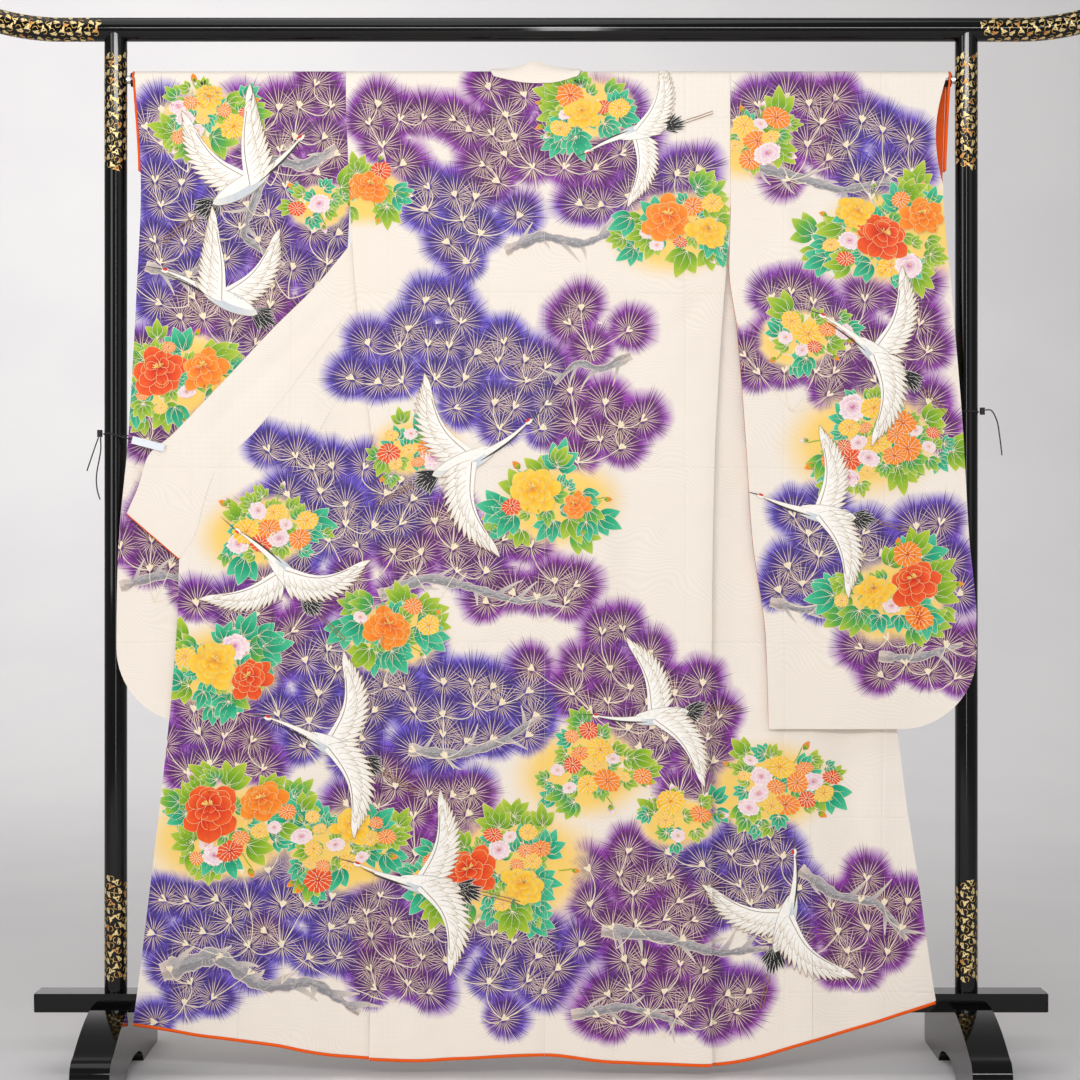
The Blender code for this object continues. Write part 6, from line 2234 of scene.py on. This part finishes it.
    def cuff_lining(self, side: Side) -> None:
        """The lining past the wrist opening, over the rod and down both layers.

        Args:
            side: The side it is on.
        """
        heights = spaced(1.508, ROD_Z, 0.006)
        turn = np.radians(np.arange(-75.0, 76.0, 15.0))
        near_y = read(SLEEVE[side], "outer_y", heights)
        far_y = near_y + read(SLEEVE[side], "gap", heights)
        y = np.concatenate([near_y, FOLD_RADIUS * np.sin(turn), far_y[::-1]])[:, None]
        z = np.concatenate([heights, ROD_Z + FOLD_RADIUS * np.cos(turn), heights[::-1]])[:, None]
        key = np.concatenate([heights, np.full(len(turn), SLEEVE_TOP_Z), heights[::-1]])[:, None]
        across = np.linspace(0.0, 0.0035, 4)
        x = side.value * (read(SLEEVE_EDGE[side], "x", key) + 0.0006 + across)
        middle = np.stack([x, y + 0.0 * x, z + 0.0 * x], 2)
        name = f"cuff_lining_{side.word}"
        strip, _ = slab(f"{name}_strip", middle[:, :: -side.value], 0.0012, self.materials.lining)
        self.attach(f"sleeve_{side.word}_back", settle(strip, name))


# The stand


class Stand:
    """The lacquered stand, with gold scroll work near the ends of its poles."""

    SIDES = 64

    def __init__(self, materials: Materials) -> None:
        """Keep the materials."""
        self.materials = materials

    def build(self) -> None:
        """Build the rail, the posts, the crossbar, the feet and their gold."""
        lacquer = self.materials.lacquer
        ends = spaced(-RAIL_HALF_LENGTH, -RAIL_BEND_X, 0.01)
        x = np.concatenate([ends, spaced(-0.7, 0.7, 0.1), -ends[::-1]])
        lift = RAIL_BEND_RATE * np.maximum(np.abs(x) - RAIL_BEND_X, 0.0) ** 2
        rail = sweep("rail_lacquer", np.stack([x, 0 * x, RAIL_Z + lift], 1), RAIL_RADIUS, self.SIDES, lacquer)
        settle(rail, "rail")
        for side in Side:
            self.post(side)
            self.foot(side)
        y = BAR_HALF_DEPTH
        profile = [(-y, BAR_BOTTOM_Z), (y, BAR_BOTTOM_Z), (y, BAR_TOP_Z), (-y, BAR_TOP_Z)]
        self.extruded("crossbar", profile, BAR_HALF_LENGTH, 0.0, 0.0030, 0.0)
        dress(lacquer, "garment_rod")
        dress(self.materials.steel, "rod_pin_left", "rod_pin_right")
        self.gold()

    def post(self, side: Side) -> None:
        """A round post whose top is hollowed to sit under the rail.

        Args:
            side: The side it is on.
        """
        angle = np.arange(self.SIDES) * 2.0 * math.pi / self.SIDES
        x, y = side.value * POST_X + POST_RADIUS * np.cos(angle), POST_RADIUS * np.sin(angle)
        top = RAIL_Z - np.sqrt((RAIL_RADIUS + 0.0005) ** 2 - np.minimum(y**2, 0.0004))
        crown = RAIL_Z - RAIL_RADIUS - 0.0005
        levels = ((BAR_TOP_Z + SEAM, y), (BAR_TOP_Z + 0.02, y), (1.70, y), (top, y), (crown, 0.0 * y))
        points = np.concatenate([np.stack([x, across, level + 0.0 * y], 1) for level, across in levels])
        name = f"upright_{side.word}"
        faces = tube_faces(len(levels), self.SIDES)
        post = add_mesh(f"{name}_lacquer", points, faces, self.materials.lacquer, 40.0)
        settle(post, name)

    def extruded(
        self, node: str, profile: list, half_width: float, x: float, bevel: float, square: float
    ) -> None:
        """Extrude a side outline of (y, z) points across X and round its edges, but not in its notch.

        Args:
            node: Its CAD node.
            profile: The outline's points.
            half_width: Half its width across X.
            x: Where its middle lies.
            bevel: How wide its edges are rounded.
            square: Half the depth of the notch, where edges stay sharp.
        """
        count = len(profile)
        points = [(x + across, y, z) for across in (-half_width, half_width) for y, z in profile]
        faces = [tuple(range(count - 1, -1, -1)), tuple(range(count, 2 * count))]
        faces += [(i, (i + 1) % count, count + (i + 1) % count, count + i) for i in range(count)]
        obj = add_mesh(f"{node}_lacquer", np.array(points), faces, self.materials.lacquer, 30.0)
        weights = obj.data.attributes.new("bevel_weight_edge", "FLOAT", "EDGE")
        for edge in obj.data.edges:
            start, end = (obj.data.vertices[k].co for k in edge.vertices)
            in_notch = max(abs(start.y), abs(end.y)) < square
            weights.data[edge.index].value = 0.0 if abs(start.x - end.x) > half_width or in_notch else 1.0
        rounding = obj.modifiers.new("rounding", "BEVEL")
        rounding.width, rounding.segments = bevel, 4
        rounding.limit_method, rounding.harden_normals = "WEIGHT", True
        settle(obj, node)

    def foot(self, side: Side) -> None:
        """A foot that runs front to back under a post, arched above and below.

        Args:
            side: The side it is on.
        """
        notch = BAR_HALF_DEPTH + SEAM
        nose_y, nose_z = FOOT_HALF_LENGTH - FOOT_NOSE_RADIUS, FOOT_NOSE_Z - FOOT_NOSE_RADIUS
        half = [(notch, BAR_BOTTOM_Z - SEAM), (notch, FOOT_TOP_Z - 0.003), (notch + 0.004, FOOT_TOP_Z)]
        for t in np.linspace(0.0, 1.0, 27)[1:-1]:
            y = notch + 0.004 + (nose_y - notch - 0.004) * t
            half.append((y, FOOT_TOP_Z - (FOOT_TOP_Z - FOOT_NOSE_Z) * t**1.8))
        for turn in np.radians(np.linspace(82.0, 0.0, 14)):
            across, up = FOOT_NOSE_RADIUS * math.cos(turn), FOOT_NOSE_RADIUS * math.sin(turn)
            half.append((nose_y + across, nose_z + up))
        half += [(FOOT_HALF_LENGTH, 0.006), (FOOT_HALF_LENGTH - 0.006, 0.0), (FOOT_ARCH_HALF_LENGTH, 0.0)]
        for turn in np.radians(np.linspace(0.0, 90.0, 16)[1:-1]):
            half.append((FOOT_ARCH_HALF_LENGTH * math.cos(turn), FOOT_ARCH_HEIGHT * math.sin(turn)))
        profile = half[::-1] + [(-y, z) for y, z in half]
        node, x = f"foot_{side.word}", side.value * POST_X
        self.extruded(node, profile, FOOT_HALF_WIDTH, x, 0.0045, notch + 0.001)

    def gold(self) -> None:
        """Lay gold scrolls round the ends of the rail and the tops and bottoms of the posts."""
        rng = np.random.default_rng(5)
        for side in Side:
            self.scrolls(f"gold_rail_{side.word}", side, None, 0.245, rng)
            for word, low, high in (("top", 1.500, 1.716), ("bottom", 0.146, 0.340)):
                self.scrolls(f"gold_post_{word}_{side.word}", side, (low, high), high - low, rng)

    def scrolls(
        self, name: str, side: Side, where: tuple[float, float] | None, length: float, rng: Random
    ) -> None:
        """Crescents and leaves between curled vine lines, drawn flat and then wrapped round a pole.

        Args:
            name: The piece's name.
            side: Which side of the stand.
            where: The lowest and highest point on a post, or None on the rail.
            length: The length of the gold zone along the pole.
            rng: The random numbers to draw with.
        """
        ink = Ink()
        radius = POST_RADIUS if where else RAIL_RADIUS
        girth = 2.0 * math.pi * radius
        gold, pale, warm = rgb(226, 186, 108), rgb(250, 232, 176), rgb(196, 120, 66)
        for i in range(int(length / GOLD_SPACING)):
            for j in range(GOLD_ROWS):
                along = (i + 0.5 + 0.5 * (j % 2)) * GOLD_SPACING + rng.uniform(-0.0015, 0.0015)
                around = (j + 0.5) * girth / GOLD_ROWS + rng.uniform(-0.0015, 0.0015)
                tongue = abs(((around / girth + 0.25) % 1.0) - 0.5)
                if not 0.007 < along < length - 0.007 - 0.040 * (1.0 - 2.0 * tongue):
                    continue
                colours = (gold, pale, gold) if rng.random() < 0.85 else (warm, gold)
                spin = 1.0 if (i + j) % 2 else -1.0
                ink.at(along, around, rng.uniform(-0.5, 0.5) + (math.pi if j % 2 else 0.0))
                for root, turn, long, wide, form, shades, level, bend in (
                    ((-0.006, 0.0), 0.9 * spin, 0.0135, 0.0056, Form.LEAF, colours, 1, -2.0 * spin),
                    ((0.001, 0.004 * spin), 2.6 * spin, 0.0080, 0.0036, Form.LEAF, colours, 1, 1.4),
                    ((-0.004, -0.002), 3.4 + spin, 0.0130, 0.0010, Form.STEM, (gold,), 0, 3.0 * spin),
                ):
                    ink.blade(root, turn, long, wide, form, shades, level, bend, gilt=0.9)
        shapes = ink.triangles()
        along, angle = shapes[:, :, 0], shapes[:, :, 1] / radius
        none = 0.0 * along
        if where:
            height = where[0] + along if where[0] < 1.0 else where[1] - along
            outward = np.stack([np.cos(angle), np.sin(angle), none], 2)
            centre = np.stack([none + side.value * POST_X, none, height], 2)
        else:
            run = RAIL_HALF_LENGTH - 0.0015 - along
            past = np.maximum(run - RAIL_BEND_X, 0.0)
            tilt = np.arctan(2.0 * RAIL_BEND_RATE * past)
            up = np.cos(angle)
            outward = np.stack([-side.value * up * np.sin(tilt), np.sin(angle), up * np.cos(tilt)], 2)
            centre = np.stack([side.value * run, none, RAIL_Z + RAIL_BEND_RATE * past**2], 2)
        points = centre + outward * (radius + 0.00012 + 0.00004 * shapes[:, :, 6:])
        inked_mesh(name, points, shapes, outward, self.materials.ink)


# Clips and ties


class Ties:
    """The clips, the elastic that ties them to the posts, and its loose ends."""

    ROUTES = {
        "tie_left_end_short": (12, ((-0.7414, -0.0016, 1.0639), (-0.748, -0.004, 1.044),
                                    (-0.76, -0.005, 1.008))),
        "tie_left_end_long": (20, ((-0.7383, 0.0018, 1.0642), (-0.7385, 0.002, 1.04), (-0.745, 0.001, 1.002),
                                   (-0.744, 0.0, 0.978), (-0.739, 0.0, 0.96))),
        "tie_right_end": (18, ((0.7441, 0.0, 1.11), (0.755, -0.001, 1.1085), (0.764, -0.002, 1.09),
                               (0.768, -0.002, 1.066), (0.772, -0.002, 1.034))),
    }

    def __init__(self, materials: Materials) -> None:
        """Keep the materials."""
        self.materials = materials

    def build(self) -> None:
        """Lay the loose ends along their routes and give the CAD clips and ties their finishes."""
        for name, (count, route) in self.ROUTES.items():
            self.loose_end(name, [Vector(p) for p in route], count)
        dress(self.materials.elastic, "tie_left", "tie_right", "bead_left", "bead_right")
        dress(self.materials.plastic, "clip_left", "clip_right")

    def loose_end(self, name: str, route: list[Vector], count: int) -> None:
        """One loose end as a cord on a smooth curve through its route.

        Args:
            name: Its CAD node.
            route: The places it runs through.
            count: How many points it gets.
        """
        ends = [2.0 * route[0] - route[1], *route, 2.0 * route[-1] - route[-2]]
        points = []
        for k in range(count):
            at = k / (count - 1) * (len(route) - 1)
            i = min(int(at), len(route) - 2)
            t = at - i
            a, b, c, d = ends[i : i + 4]
            turn = (2.0 * a - 5.0 * b + 4.0 * c - d) * t * t + (3.0 * b - a - 3.0 * c + d) * t**3
            points.append(0.5 * (2.0 * b + (c - a) * t + turn))
        curve = bpy.data.curves.new(name, "CURVE")
        curve.dimensions = "3D"
        curve.bevel_depth, curve.bevel_resolution, curve.use_fill_caps = ELASTIC_RADIUS, 4, True
        spline = curve.splines.new("POLY")
        spline.points.add(count - 1)
        for target, point in zip(spline.points, points):
            target.co = (*point, 1.0)
        obj = bpy.data.objects.new(name, curve)
        bpy.context.collection.objects.link(obj)
        curve.materials.append(self.materials.elastic)
        settle(obj, name)


class Studio:
    """The camera, the light and the plain ground."""

    LAMPS = {
        "key": ((-2.8, -3.2, 2.1), (0.0, 0.0, 0.95), (1.3, 3.0), 45.0),
        "front": ((0.2, -4.4, 2.45), (0.0, 0.0, 1.0), (3.4, 0.30), 56.0),
        "middle": ((0.1, -4.6, 1.5), (0.0, 0.0, 0.9), (0.22, 3.0), 24.0),
        "fill": ((2.8, -3.2, 1.9), (0.0, 0.0, 0.85), (2.2, 2.2), 9.0),
        "top": ((-0.5, -0.6, 3.6), (0.0, 0.0, 0.8), (2.6, 2.6), 28.0),
        "wall": ((-1.6, 3.6, 4.4), (-0.4, 7.5, 1.8), (5.0, 1.5), 140.0),
    }

    def build(self) -> None:
        """Set up the camera first, then the lights and the ground."""
        self.camera()
        for name, (place, aim, size, power) in self.LAMPS.items():
            self.light(name, place, aim, size, power)
        world = bpy.data.worlds.new("studio")
        world.use_nodes = True
        colour, strength = world.node_tree.nodes["Background"].inputs[:2]
        colour.default_value, strength.default_value = (0.985, 0.99, 1.0, 1.0), 0.30
        bpy.context.scene.world = world
        bpy.context.scene.view_settings.view_transform = "Standard"
        self.ground()

    @staticmethod
    def camera() -> None:
        """The camera at the photograph's height and distance."""
        data = bpy.data.cameras.new("camera")
        data.lens, data.shift_x, data.shift_y = 84.15, -0.001, -0.0320
        camera = bpy.data.objects.new("camera", data)
        camera.location = (0.0, -4.23, 0.95)
        camera.rotation_euler = (math.pi / 2, 0.0, 0.0)
        bpy.context.collection.objects.link(camera)
        bpy.context.scene.camera = camera

    @staticmethod
    def light(
        name: str, place: Sequence[float], aim: Sequence[float], size: Sequence[float], power: float
    ) -> None:
        """One soft lamp of a width and a height that faces a point.

        Args:
            name: The lamp's name.
            place: Where it stands.
            aim: The point that it faces.
            size: Its width and its height.
            power: Its power in watts.
        """
        data = bpy.data.lights.new(name, "AREA")
        data.shape = "RECTANGLE"
        data.size, data.size_y = size
        data.energy = power
        lamp = bpy.data.objects.new(name, data)
        lamp.location = place
        lamp.visible_camera = False
        lamp.rotation_euler = (Vector(aim) - Vector(place)).to_track_quat("-Z", "Y").to_euler()
        bpy.context.collection.objects.link(lamp)

    @staticmethod
    def ground() -> None:
        """A pale floor that sweeps up into a wall far behind the stand."""
        angle = np.radians(np.linspace(0.0, 90.0, 33))
        reach, bend = 7.5, 4.0
        y = np.concatenate([[-6.0], reach - bend + bend * np.sin(angle), [reach]])
        z = np.concatenate([[0.0], bend - bend * np.cos(angle), [9.0]])
        points = np.concatenate([np.stack([np.full_like(y, x), y, z], 1) for x in (-8.0, 8.0)])
        count = len(y)
        faces = [(i, count + i, count + i + 1, i + 1) for i in range(count - 1)]
        material, g, place = Materials.start("backdrop", 0.9)
        tone = g.ramp(g.noise(place, 1.5, 2.0), 0.3, 0.7)
        g.shade(Base_Color=g.mix(tone, rgb(230, 227, 228), rgb(234, 231, 231)))
        add_mesh("backdrop", points, faces, material)


def main() -> None:
    """Build the whole scene."""
    logging.basicConfig(level=logging.INFO, format="%(message)s")
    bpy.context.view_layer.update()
    Studio().build()
    materials = Materials()
    for part in (Ties, Stand, Garment):
        part(materials).build()
    for obj in bpy.data.objects:
        if obj.type == "MESH":
            logging.info("%s: %d faces", obj.name, len(obj.data.polygons))


if __name__ == "__main__":
    main()
